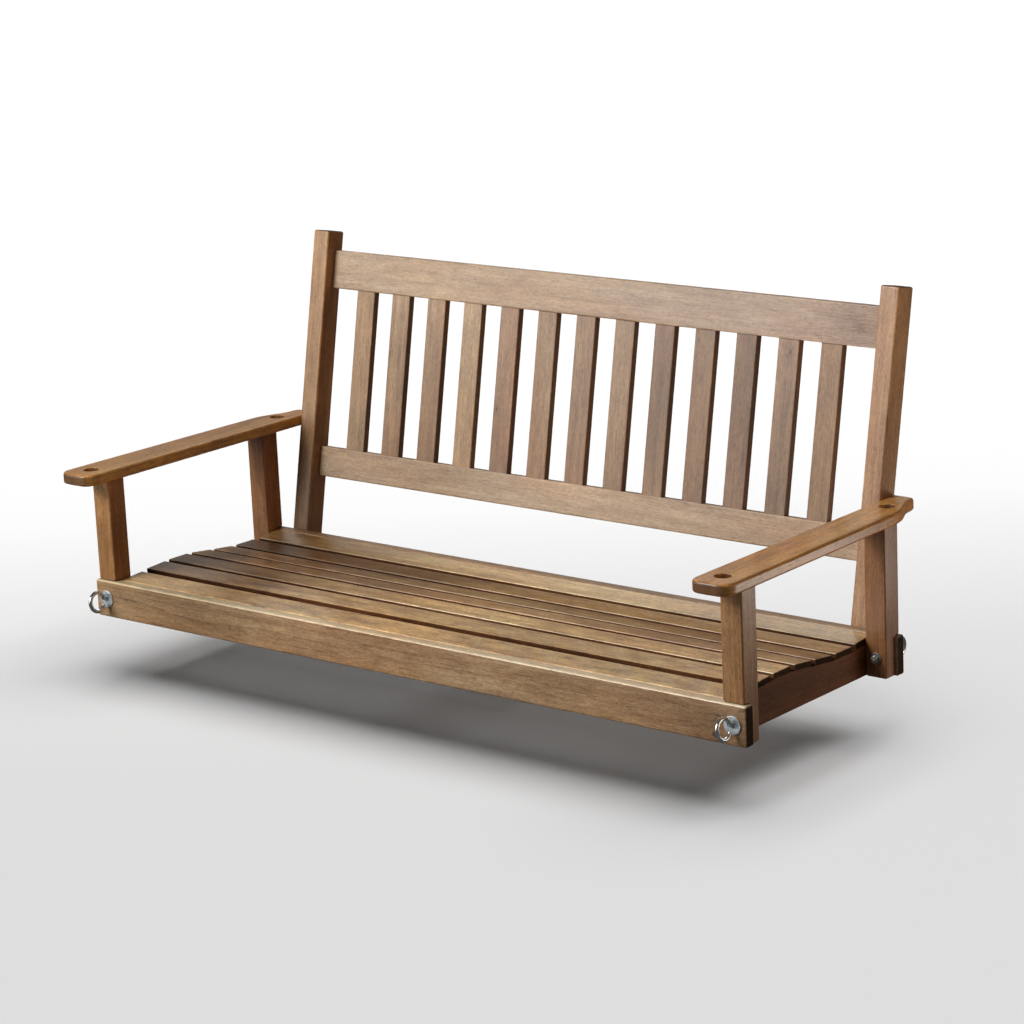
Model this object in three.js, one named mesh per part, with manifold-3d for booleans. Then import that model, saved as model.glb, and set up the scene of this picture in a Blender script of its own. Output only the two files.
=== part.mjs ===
// Slatted hardwood porch swing seat: two full-width rails, contoured side
// rails, seven seat slats, four notched arm posts, two arm boards with chain
// holes, a leaning slatted back, and four bent eye bolts for the chains.
//
// Millimetres. +X to the sitter's left-to-right width (front view, right is
// +X), +Y from the front edge to the back, +Z up. Z = 0 is the flat underside
// of the rails, and the origin is the centre of the footprint's bounding box.

import * as THREE from 'three';
import Module from 'manifold-3d';
import { mergeVertices } from 'three/addons/utils/BufferGeometryUtils.js';

const wasm = await Module();
wasm.setup();

// ---------------------------------------------------------------- dimensions
const GAP = 0.3;            // clearance between touching pieces

const RAIL_LENGTH = 1270;   // front and rear rails, end to end
const RAIL_HEIGHT = 60;
const RAIL_THICK = 18;
const FRAME_DEPTH = 400;    // front face of front rail to rear face of rear rail

const POST_WIDTH = 36;      // arm posts, along X
const POST_DEPTH = 36;      // arm posts, along Y
const POST_OUTER_X = 629.4; // outer face of the arm posts
const POST_SETBACK = 3.5;   // posts stand back from the rail faces
const ARM_UNDERSIDE = 228.2;
const ARM_THICK = 18;

const SIDE_RAIL_OUTER_X = 593.1;
const SIDE_RAIL_THICK = 18;
const SUPPORT_THICK = 18;   // middle support under the slats

const SLAT_THICK = 10;
// front-top and rear-top edges of each seat slat, as [y, z]
const SEAT_SLATS = [
  [[18.4, 60.4], [62.4, 63.6]],
  [[75.0, 64.9], [117.0, 67.4]],
  [[125.5, 68.1], [167.5, 67.8]],
  [[178.5, 66.9], [220.2, 61.9]],
  [[230.0, 60.6], [271.7, 55.8]],
  [[282.0, 55.3], [324.0, 54.9]],
  [[335.5, 55.2], [380.7, 59.3]],
];
const SLAT_END_X = 595;        // slats between the posts overhang the side rails
const SLAT_END_X_POST = 593.1; // first and last slats stop at the posts

const LEAN_DEG = 11.05;        // the back leans back by this
const BACK_REF_Y = 427.5;      // front face of the back posts at BACK_REF_Z
const BACK_REF_Z = 200;
const BACK_POST_OUTER_X = 574.45;
const BACK_POST_WIDTH = 33.1;
const BACK_POST_DEPTH = 38.8;
const BACK_POST_TOP = 358.5;   // along the lean, from BACK_REF_Z
const FOOT_BOTTOM_Z = 4;
const BACK_RAIL_RECESS = 19.1; // rail faces behind the post faces
const BACK_RAIL_THICK = 19.1;
const TOP_RAIL = [264.1, 327.3];   // bottom and top edges, along the lean
const LOWER_RAIL = [-50.8, -1.0];
const TENON_LENGTH = 12;
const TENON_THICK = 9;
const TENON_SHOULDER = 9;

const BACK_SLATS = 13;
const BACK_SLAT_WIDTH = 38.2;
const BACK_SLAT_THICK = 12.5;
const BACK_SLAT_PITCH = 76.8;
const BACK_SLAT_SHIFT = -8;     // the row of slats stands a little left of the middle
const HOUSING_DEPTH = 8;

const EYE_X = 612;             // eye bolt axes
const EYE_Z = 30;
const WIRE_R = 3.2;
const RING_R = 15;           // ring centre line
const RING_CENTRE = 21;      // ring centre ahead of the rail face
const BOLT_HOLE_R = 3.6;
const EYE_WASHER_R = 14;
const NUT_WASHER_R = 9;
const WASHER_THICK = 1.6;
const NUT_FLATS = 10;
const NUT_THICK = 5.2;
const THREAD_PROUD = 5;

const CHAIN_HOLE_R = 12;

// ---------------------------------------------------------------- materials
const wood = (hex, rough = 0.5) =>
  new THREE.MeshStandardMaterial({ color: hex, roughness: rough, metalness: 0 });
const WOOD_FRAME = 0x8a6440, WOOD_SEAT = 0x96754c, WOOD_ARM = 0x97744a, WOOD_BACK = 0xa88a69;
const zinc = () =>
  new THREE.MeshStandardMaterial({ color: 0xc3c8cb, roughness: 0.28, metalness: 1 });

// ---------------------------------------------------------------- helpers
function solid(geometry) {
  let g = geometry.index ? geometry.toNonIndexed() : geometry.clone();
  g.deleteAttribute('normal');
  g.deleteAttribute('uv');
  g = mergeVertices(g, 1e-4);
  return new wasm.Manifold(new wasm.Mesh({
    numProp: 3,
    vertProperties: new Float32Array(g.attributes.position.array),
    triVerts: new Uint32Array(g.index.array),
  }));
}

function geometryOf(manifold) {
  const mesh = manifold.getMesh();
  const g = new THREE.BufferGeometry();
  g.setAttribute('position', new THREE.BufferAttribute(new Float32Array(mesh.vertProperties), 3));
  g.setIndex(new THREE.BufferAttribute(new Uint32Array(mesh.triVerts), 1));
  g.computeVertexNormals();
  return g;
}

// box from its corner coordinates
function block(x0, x1, y0, y1, z0, z1) {
  return new THREE.BoxGeometry(x1 - x0, y1 - y0, z1 - z0)
    .translate((x0 + x1) / 2, (y0 + y1) / 2, (z0 + z1) / 2);
}

// round bar along X or Y between two coordinates
function barY(x, z, r, y0, y1, sides = 20) {
  return new THREE.CylinderGeometry(r, r, y1 - y0, sides).translate(x, (y0 + y1) / 2, z);
}
function barX(y, z, r, x0, x1, sides = 16) {
  return new THREE.CylinderGeometry(r, r, x1 - x0, sides).rotateZ(Math.PI / 2)
    .translate((x0 + x1) / 2, y, z);
}

// outline given as [y, z] pairs, extruded along X
function profileAlongX(outline, x0, x1) {
  const shape = new THREE.Shape(outline.map(([y, z]) => new THREE.Vector2(y, z)));
  const g = new THREE.ExtrudeGeometry(shape, { depth: x1 - x0, bevelEnabled: false, steps: 1 });
  g.applyMatrix4(new THREE.Matrix4().makeBasis(
    new THREE.Vector3(0, 1, 0), new THREE.Vector3(0, 0, 1), new THREE.Vector3(1, 0, 0)));
  return g.translate(x0, 0, 0);
}

function cut(body, ...tools) {
  let m = solid(body);
  for (const t of tools) m = m.subtract(solid(t));
  return geometryOf(m);
}

const swing = new THREE.Group();
function add(parent, name, geometry, material, position, rotation) {
  const mesh = new THREE.Mesh(geometry, material);
  mesh.name = name;
  if (position) mesh.position.set(...position);
  if (rotation) mesh.rotation.set(...rotation);
  parent.add(mesh);
  return mesh;
}

// Everything below is drawn with Y = 0 on the front rail's front face; the
// group then moves so that the bounding box centre is over the origin.
const FRONT_Y = -52;                  // foremost point, the arms' front ends
const lean = THREE.MathUtils.degToRad(LEAN_DEG);
const REAR_Y = BACK_REF_Y + BACK_POST_TOP * Math.sin(lean) + BACK_POST_DEPTH * Math.cos(lean);
const body = new THREE.Group();
body.position.set(0, -(FRONT_Y + REAR_Y) / 2, 0);
swing.add(body);

// ---------------------------------------------------------------- full-width rails
const lagZ = [22, 42];
const lagX = BACK_POST_OUTER_X - BACK_POST_WIDTH / 2;
{
  const L = RAIL_LENGTH / 2;
  const eyes = (y0, y1) => [-EYE_X, EYE_X].map((x) => barY(x, EYE_Z - RAIL_HEIGHT / 2, BOLT_HOLE_R, y0, y1));
  // rail geometry is centred on the board; the mesh is placed by position
  const front = cut(block(-L, L, -RAIL_THICK / 2, RAIL_THICK / 2, -RAIL_HEIGHT / 2, RAIL_HEIGHT / 2),
    ...eyes(-20, 20));
  add(body, 'front_rail', front, wood(0x93704a), [0, RAIL_THICK / 2, RAIL_HEIGHT / 2]);
  const pilots = [-lagX, lagX].flatMap((x) => lagZ.map((z) =>
    barY(x, z - RAIL_HEIGHT / 2, 2.9, -RAIL_THICK / 2 + 3.6, 20, 14)));
  const rear = cut(block(-L, L, -RAIL_THICK / 2, RAIL_THICK / 2, -RAIL_HEIGHT / 2, RAIL_HEIGHT / 2),
    ...eyes(-20, 20), ...pilots);
  add(body, 'rear_rail', rear, wood(WOOD_FRAME), [0, FRAME_DEPTH - RAIL_THICK / 2, RAIL_HEIGHT / 2]);
}

// ---------------------------------------------------------------- arm posts
{
  const T = RAIL_THICK + GAP, S = POST_SETBACK, D = POST_DEPTH;
  const top = ARM_UNDERSIDE - GAP, notch = RAIL_HEIGHT + GAP;
  // side profile with the notch that fits over the rail, [y, z]
  const profile = [[S, notch], [T, notch], [T, 0], [S + D, 0], [S + D, top], [S, top]];
  const half = POST_WIDTH / 2;
  const xc = POST_OUTER_X - half;
  for (const [side, sx] of [['left', -1], ['right', 1]]) {
    const hole = barY(sx * EYE_X - sx * xc, EYE_Z, BOLT_HOLE_R, -10, 60);
    add(body, `front_post_${side}`, cut(profileAlongX(profile, -half, half), hole),
      wood(0x8d6743), [sx * xc, 0, 0]);
    // the rear posts are the same piece turned to face backwards
    const holeR = barY(-(sx * EYE_X - sx * xc), EYE_Z, BOLT_HOLE_R, -10, 60);
    add(body, `rear_post_${side}`, cut(profileAlongX(profile, -half, half), holeR),
      wood(0x7d583a), [sx * xc, FRAME_DEPTH, 0], [0, 0, Math.PI]);
  }
}

// ---------------------------------------------------------------- side rails and middle support
{
  const y0 = RAIL_THICK + GAP, y1 = FRAME_DEPTH - RAIL_THICK - GAP;
  const contour = [];
  for (const [[ya, za], [yb, zb]] of SEAT_SLATS) {
    const d = new THREE.Vector2(yb - ya, zb - za).normalize();
    const t = SLAT_THICK + GAP;
    contour.push([ya + d.y * t, za - d.x * t], [yb + d.y * t, zb - d.x * t]);
  }
  const first = contour[0], last = contour[contour.length - 1];
  const outline = [[y0, 0], [y1, 0], [y1, last[1]]];
  for (let i = contour.length - 1; i >= 0; i--) {
    const [y, z] = contour[i];
    if (y > y0 + 0.2 && y < y1 - 0.2) outline.push([y, z]);
  }
  outline.push([y0, first[1]]);
  const xi = SIDE_RAIL_OUTER_X - SIDE_RAIL_THICK;
  add(body, 'side_rail_right', profileAlongX(outline, 0, SIDE_RAIL_THICK), wood(0x5d4029), [xi, 0, 0]);
  add(body, 'side_rail_left', profileAlongX(outline, 0, SIDE_RAIL_THICK), wood(0x5d4029), [-SIDE_RAIL_OUTER_X, 0, 0]);
  add(body, 'seat_support_center', profileAlongX(outline, 0, SUPPORT_THICK), wood(0x5d4029), [-SUPPORT_THICK / 2, 0, 0]);
}

// ---------------------------------------------------------------- seat slats
SEAT_SLATS.forEach(([[ya, za], [yb, zb]], i) => {
  const width = Math.hypot(yb - ya, zb - za);
  const pitch = Math.atan2(zb - za, yb - ya);
  const ends = i === 0 || i === SEAT_SLATS.length - 1 ? SLAT_END_X_POST : SLAT_END_X;
  // the slat's own origin is its front top edge
  const g = block(-ends, ends, 0, width, -SLAT_THICK, 0);
  const tone = [0x93744c, 0x7d5e43, 0x8c6c48, 0x8a6a47, 0x8e7049, 0x92744c, 0x9a7a50][i];
  add(body, `seat_slat_${i + 1}`, g, wood(tone), [0, ya, za], [pitch, 0, 0]);
});

// ---------------------------------------------------------------- arms
const ARM_DOWEL_Y = 455, ARM_DOWEL_Z = ARM_UNDERSIDE + ARM_THICK / 2;
const ARM_DOWEL_R = 4, ARM_DOWEL_LENGTH = 33, ARM_DOWEL_BORE_DEPTH = 17;
const ARM_INNER_X = 574.8;            // arm's inner edge where it meets the back post
function armOutline() {
  // right arm, seen from above; the left arm is its mirror image
  const s = new THREE.Shape();
  s.moveTo(574.8, 472);
  s.lineTo(579.5, -30);
  s.bezierCurveTo(579.7, -44, 587, -52, 601, -52);   // inner front corner
  s.lineTo(624, -52);
  s.bezierCurveTo(638, -52, 646.6, -44, 646.5, -28); // outer front corner
  s.lineTo(636.5, 378);
  s.bezierCurveTo(635.6, 412, 620, 424, 615.6, 446); // sweep in at the rear
  s.bezierCurveTo(613.8, 455, 616, 472, 603, 472);   // rear corner
  s.lineTo(574.8, 472);
  const front = new THREE.Path();
  front.absarc(612, -12, CHAIN_HOLE_R, 0, Math.PI * 2, true);
  const rear = new THREE.Path();
  rear.absarc(603.5, 410, CHAIN_HOLE_R, 0, Math.PI * 2, true);
  s.holes.push(front, rear);
  return s;
}
{
  const raw = new THREE.ExtrudeGeometry(armOutline(), { depth: ARM_THICK, bevelEnabled: false, curveSegments: 7 });
  // blind bore for the dowel, in the arm's inner edge
  const blind = barX(ARM_DOWEL_Y, ARM_THICK / 2, ARM_DOWEL_R + GAP, 560, ARM_INNER_X + ARM_DOWEL_BORE_DEPTH);
  const right = cut(raw, blind);
  add(body, 'arm_right', right, wood(WOOD_ARM), [0, 0, ARM_UNDERSIDE]);
  // mirror image: flip X and reverse the winding
  const left = right.clone();
  left.scale(-1, 1, 1);
  const idx = left.index.array;
  for (let i = 0; i < idx.length; i += 3) { const t = idx[i]; idx[i] = idx[i + 1]; idx[i + 1] = t; }
  left.computeVertexNormals();
  add(body, 'arm_left', left, wood(WOOD_ARM), [0, 0, ARM_UNDERSIDE]);
}

// ---------------------------------------------------------------- leaning back
// the group's own axes are X, depth (Y) and height along the lean (Z)
const back = new THREE.Group();
back.position.set(0, BACK_REF_Y, BACK_REF_Z);
back.rotation.x = -lean;
body.add(back);
const toBack = (y, z) => [
  (y - BACK_REF_Y) * Math.cos(lean) - (z - BACK_REF_Z) * Math.sin(lean),
  (y - BACK_REF_Y) * Math.sin(lean) + (z - BACK_REF_Z) * Math.cos(lean)];
const r0 = BACK_RAIL_RECESS, r1 = BACK_RAIL_RECESS + BACK_RAIL_THICK;
const tenonD = [(r0 + r1 - TENON_THICK) / 2, (r0 + r1 + TENON_THICK) / 2];
{
  // posts: the foot is cut plumb where it stands against the rear rail
  const footY = FRAME_DEPTH + GAP;
  const kneeZ = BACK_REF_Z + (footY - BACK_REF_Y) / Math.tan(lean);
  const rearFootY = BACK_REF_Y + (FOOT_BOTTOM_Z - BACK_REF_Z) * Math.tan(lean) + BACK_POST_DEPTH / Math.cos(lean);
  const outline = [
    toBack(footY, FOOT_BOTTOM_Z), toBack(rearFootY, FOOT_BOTTOM_Z),
    [BACK_POST_DEPTH, BACK_POST_TOP], [0, BACK_POST_TOP], toBack(footY, kneeZ)];
  const xi = BACK_POST_OUTER_X - BACK_POST_WIDTH;
  for (const [side, sx] of [['left', -1], ['right', 1]]) {
    const x0 = sx > 0 ? xi : -BACK_POST_OUTER_X;
    const inner = sx > 0 ? 0 : BACK_POST_WIDTH;  // local x of the inner face
    const mort = [TOP_RAIL, LOWER_RAIL].map(([a, b]) => block(
      Math.min(inner - sx * 20, inner + sx * (TENON_LENGTH + GAP)),
      Math.max(inner - sx * 20, inner + sx * (TENON_LENGTH + GAP)),
      tenonD[0] - GAP, tenonD[1] + GAP, a + TENON_SHOULDER - GAP, b - TENON_SHOULDER + GAP));
    // clearance holes and flat-bottomed counterbores for the two lag bolts
    const tools = [...mort];
    for (const z of lagZ) {
      const turn = (g) => { g.rotateX(0); return g; };
      const through = turn(barY(lagX * sx - x0, z, 3.6, 380, 460));
      const bore = turn(barY(lagX * sx - x0, z, 8.5, 424, 470));
      for (const g of [through, bore]) {
        g.translate(0, -BACK_REF_Y, -BACK_REF_Z);
        g.rotateX(lean);
        tools.push(g);
      }
    }
    // blind bore for the arm's dowel, in the outer face
    const arm = sx > 0
      ? barX(ARM_DOWEL_Y, ARM_DOWEL_Z, ARM_DOWEL_R + GAP, BACK_POST_WIDTH - ARM_DOWEL_BORE_DEPTH, BACK_POST_WIDTH + 10)
      : barX(ARM_DOWEL_Y, ARM_DOWEL_Z, ARM_DOWEL_R + GAP, -10, ARM_DOWEL_BORE_DEPTH);
    arm.translate(0, -BACK_REF_Y, -BACK_REF_Z);
    arm.rotateX(lean);
    tools.push(arm);
    add(back, `back_post_${side}`, cut(profileAlongX(outline, 0, BACK_POST_WIDTH), ...tools),
      wood(0xa58463), [x0, 0, 0]);
  }

  // rails with a stub tenon at each end and a row of slat housings
  const span = xi - GAP;
  const firstX = BACK_SLAT_SHIFT - ((BACK_SLATS - 1) / 2) * BACK_SLAT_PITCH;
  const slatD = [(r0 + r1 - BACK_SLAT_THICK) / 2, (r0 + r1 + BACK_SLAT_THICK) / 2];
  for (const [name, [a, b], opensUp, tone] of [
    ['back_top_rail', TOP_RAIL, false, 0xb0926f], ['back_lower_rail', LOWER_RAIL, true, 0xa48763]]) {
    const h = b - a;
    let m = solid(block(-span, span, 0, BACK_RAIL_THICK, 0, h));
    for (const sx of [-1, 1]) {
      const xa = sx * (span - 5), xb = sx * (span + TENON_LENGTH);
      m = m.add(solid(block(Math.min(xa, xb), Math.max(xa, xb),
        tenonD[0] - r0, tenonD[1] - r0, TENON_SHOULDER, h - TENON_SHOULDER)));
    }
    for (let i = 0; i < BACK_SLATS; i++) {
      const xc = firstX + i * BACK_SLAT_PITCH, w = BACK_SLAT_WIDTH / 2 + GAP;
      const z = opensUp ? [h - HOUSING_DEPTH - GAP, h + 5] : [-5, HOUSING_DEPTH + GAP];
      m = m.subtract(solid(block(xc - w, xc + w, slatD[0] - r0 - GAP, slatD[1] - r0 + GAP, z[0], z[1])));
    }
    add(back, name, geometryOf(m), wood(tone), [0, r0, a]);
  }

  // vertical slats, housed in both rails
  const s0 = LOWER_RAIL[1] - HOUSING_DEPTH, s1 = TOP_RAIL[0] + HOUSING_DEPTH;
  for (let i = 0; i < BACK_SLATS; i++) {
    const g = block(-BACK_SLAT_WIDTH / 2, BACK_SLAT_WIDTH / 2, 0, BACK_SLAT_THICK, 0, s1 - s0);
    const tone = [0xa3876a, 0xa08068, 0x9c7d62, 0xab8f70, 0x98785a, 0xa38466][i % 6];
    add(back, `back_slat_${String(i + 1).padStart(2, '0')}`, g, wood(tone),
      [firstX + i * BACK_SLAT_PITCH, slatD[0], s0]);
  }
}

// ---------------------------------------------------------------- fasteners
// pan-head wood screw: head above Y = 0, shank towards +Y
function screw(headR, headT, shankR, length) {
  const pts = [
    [0, -headT], [headR * 0.6, -headT], [headR, -headT * 0.45], [headR, 0],
    [shankR, 0], [shankR, length - shankR * 2], [shankR * 0.35, length], [0, length]]
    .map(([r, y]) => new THREE.Vector2(r, y));
  return new THREE.LatheGeometry(pts, 16);
}
// round pin with chamfered ends: axis on Y, from Y = 0 to Y = length
function dowel(r, length) {
  const c = 1;
  const pts = [[0, 0], [r - c, 0], [r, c], [r, length - c], [r - c, length], [0, length]]
    .map(([x, y]) => new THREE.Vector2(x, y));
  return new THREE.LatheGeometry(pts, 16);
}
{
  for (const [side, sx] of [['left', -1], ['right', 1]]) {
    // lag bolts through each back post's foot into the rear rail
    ['lower', 'upper'].forEach((level, i) => {
      add(body, `lag_bolt_${level}_${side}`, screw(6.5, 3.4, 2.6, 36), zinc(),
        [sx * lagX, 424 + GAP, lagZ[i]], [0, 0, Math.PI]);
    });
    // blind dowel between the back post's outer face and the arm's inner edge
    const dowelX = (BACK_POST_OUTER_X + ARM_INNER_X - ARM_DOWEL_LENGTH) / 2;
    add(body, `arm_dowel_${side}`, dowel(ARM_DOWEL_R, ARM_DOWEL_LENGTH), wood(0xa58463),
      [sx * dowelX, ARM_DOWEL_Y, ARM_DOWEL_Z], [0, 0, -sx * Math.PI / 2]);
  }
}

// ---------------------------------------------------------------- eye bolts
// A wire bent into an open ring ahead of a straight threaded shank. Local
// frame: shank axis on Y, shank towards +Y, ring towards -Y, ring plane YZ.
function eyeBolt(shankEnd) {
  const pts = [];
  const v = (y, z) => pts.push(new THREE.Vector3(0, y, z));
  for (const y of [shankEnd, shankEnd * 0.75, shankEnd * 0.5, shankEnd * 0.25, 3, 0.5]) v(y, 0);
  // bend out of the shank, turning 58 degrees on a radius of about 8
  const R = 7.6;
  for (const a of [20, 40, 58]) {
    const t = THREE.MathUtils.degToRad(a);
    v(-1.0 - R * Math.sin(t), R * (1 - Math.cos(t)));
  }
  for (let a = 28; a <= 332; a += 304 / 22) {
    const t = THREE.MathUtils.degToRad(a);
    v(-RING_CENTRE + RING_R * Math.cos(t), RING_R * Math.sin(t));
  }
  const path = new THREE.CatmullRomCurve3(pts, false, 'centripetal');
  const circle = new THREE.Shape();
  circle.absarc(0, 0, WIRE_R, 0, Math.PI * 2, false);
  return new THREE.ExtrudeGeometry(circle, {
    steps: 44, bevelEnabled: false, extrudePath: path, curveSegments: 5 });
}
function washer(outer, inner) {
  const pts = [[inner, 0], [outer, 0], [outer, WASHER_THICK], [inner, WASHER_THICK], [inner, 0]]
    .map(([r, y]) => new THREE.Vector2(r, y));
  return new THREE.LatheGeometry(pts, 24);
}
function hexNut() {
  const body6 = new THREE.CylinderGeometry(NUT_FLATS / Math.sqrt(3), NUT_FLATS / Math.sqrt(3), NUT_THICK, 6)
    .translate(0, NUT_THICK / 2, 0);
  return cut(body6, new THREE.CylinderGeometry(WIRE_R + GAP, WIRE_R + GAP, NUT_THICK + 4, 20).translate(0, NUT_THICK / 2, 0));
}
{
  const postRear = POST_SETBACK + POST_DEPTH;   // inner face of the arm post
  const nutWasherY = postRear + GAP, nutY = nutWasherY + WASHER_THICK + GAP;
  const end = nutY + NUT_THICK + THREAD_PROUD;
  // each eye is turned a little about its shank, as it was left when tightened
  for (const [where, sx, rear, turn] of [
    ['front_left', -1, false, -6], ['front_right', 1, false, -8],
    ['rear_left', -1, true, 8], ['rear_right', 1, true, -5]]) {
    const set = new THREE.Group();
    set.position.set(sx * EYE_X, rear ? FRAME_DEPTH : 0, EYE_Z);
    set.rotation.set(0, 0, rear ? Math.PI : 0);
    const spin = new THREE.Group();
    spin.rotation.y = THREE.MathUtils.degToRad(turn);
    set.add(spin);
    body.add(set);
    add(spin, `eye_bolt_${where}`, eyeBolt(end), zinc());
    add(spin, `eye_washer_${where}`, washer(EYE_WASHER_R, WIRE_R + GAP), zinc(), [0, -GAP - WASHER_THICK, 0]);
    add(spin, `nut_washer_${where}`, washer(NUT_WASHER_R, WIRE_R + GAP), zinc(), [0, nutWasherY, 0]);
    add(spin, `nut_${where}`, hexNut(), zinc(), [0, nutY, 0]);
  }
}

export default swing;
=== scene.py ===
import math
import random

import bmesh
import bpy
from mathutils import Matrix, Vector


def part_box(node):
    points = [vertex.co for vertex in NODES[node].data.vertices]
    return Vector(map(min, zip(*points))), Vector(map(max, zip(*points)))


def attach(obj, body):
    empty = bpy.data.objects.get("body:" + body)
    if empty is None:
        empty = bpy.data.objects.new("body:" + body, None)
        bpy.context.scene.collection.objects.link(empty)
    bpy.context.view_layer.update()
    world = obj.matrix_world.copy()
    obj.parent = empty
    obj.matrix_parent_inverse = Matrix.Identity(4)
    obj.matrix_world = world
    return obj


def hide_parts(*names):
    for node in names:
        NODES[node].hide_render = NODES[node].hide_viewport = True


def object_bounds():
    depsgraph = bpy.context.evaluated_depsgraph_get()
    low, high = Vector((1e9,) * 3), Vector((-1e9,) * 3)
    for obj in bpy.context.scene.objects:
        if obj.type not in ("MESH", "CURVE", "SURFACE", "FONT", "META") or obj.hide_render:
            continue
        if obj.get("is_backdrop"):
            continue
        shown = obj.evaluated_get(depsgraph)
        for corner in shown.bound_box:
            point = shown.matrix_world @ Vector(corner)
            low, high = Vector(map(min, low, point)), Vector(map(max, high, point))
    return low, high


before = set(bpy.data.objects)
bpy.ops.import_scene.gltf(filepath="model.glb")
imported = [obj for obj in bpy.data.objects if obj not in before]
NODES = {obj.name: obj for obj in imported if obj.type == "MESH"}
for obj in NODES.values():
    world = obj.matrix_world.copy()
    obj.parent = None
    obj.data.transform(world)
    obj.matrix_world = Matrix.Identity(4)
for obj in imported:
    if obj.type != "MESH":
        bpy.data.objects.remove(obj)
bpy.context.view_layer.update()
MM = 0.001

# ------------------------------------------------------------------ reference points
Y0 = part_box("front_rail")[0].y            # front face of the front rail
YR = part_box("rear_rail")[1].y             # rear face of the rear rail
LEAN = math.radians(11.05)                # the back leans back by this
UP_BACK = Vector((0, math.sin(LEAN), math.cos(LEAN)))      # along the leaning posts
IN_BACK = Vector((0, math.cos(LEAN), -math.sin(LEAN)))     # through their depth
BACK_REF = Vector((0, Y0 + 427.5 * MM, 200 * MM))
X, Y, Z = Vector((1, 0, 0)), Vector((0, 1, 0)), Vector((0, 0, 1))


# ------------------------------------------------------------------ camera
def make_camera():
    az, el, roll = math.radians(39.634), math.radians(14.553), math.radians(-2.589)
    d = Vector((math.sin(az) * math.cos(el), -math.cos(az) * math.cos(el), math.sin(el)))
    xc = Z.cross(d).normalized()
    yc = d.cross(xc)
    xr = xc * math.cos(roll) + yc * math.sin(roll)
    yr = yc * math.cos(roll) - xc * math.sin(roll)
    cam = bpy.data.cameras.new("camera")
    cam.lens, cam.sensor_width, cam.sensor_fit = 115.06, 36.0, "HORIZONTAL"
    cam.clip_start, cam.clip_end = 0.05, 200
    ob = bpy.data.objects.new("camera", cam)
    bpy.context.scene.collection.objects.link(ob)
    m = Matrix((xr, yr, d)).transposed().to_4x4()
    m.translation = Vector((3.109256, Y0 - 3.467643, 1.452774))
    ob.matrix_world = m
    bpy.context.scene.camera = ob


make_camera()


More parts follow.
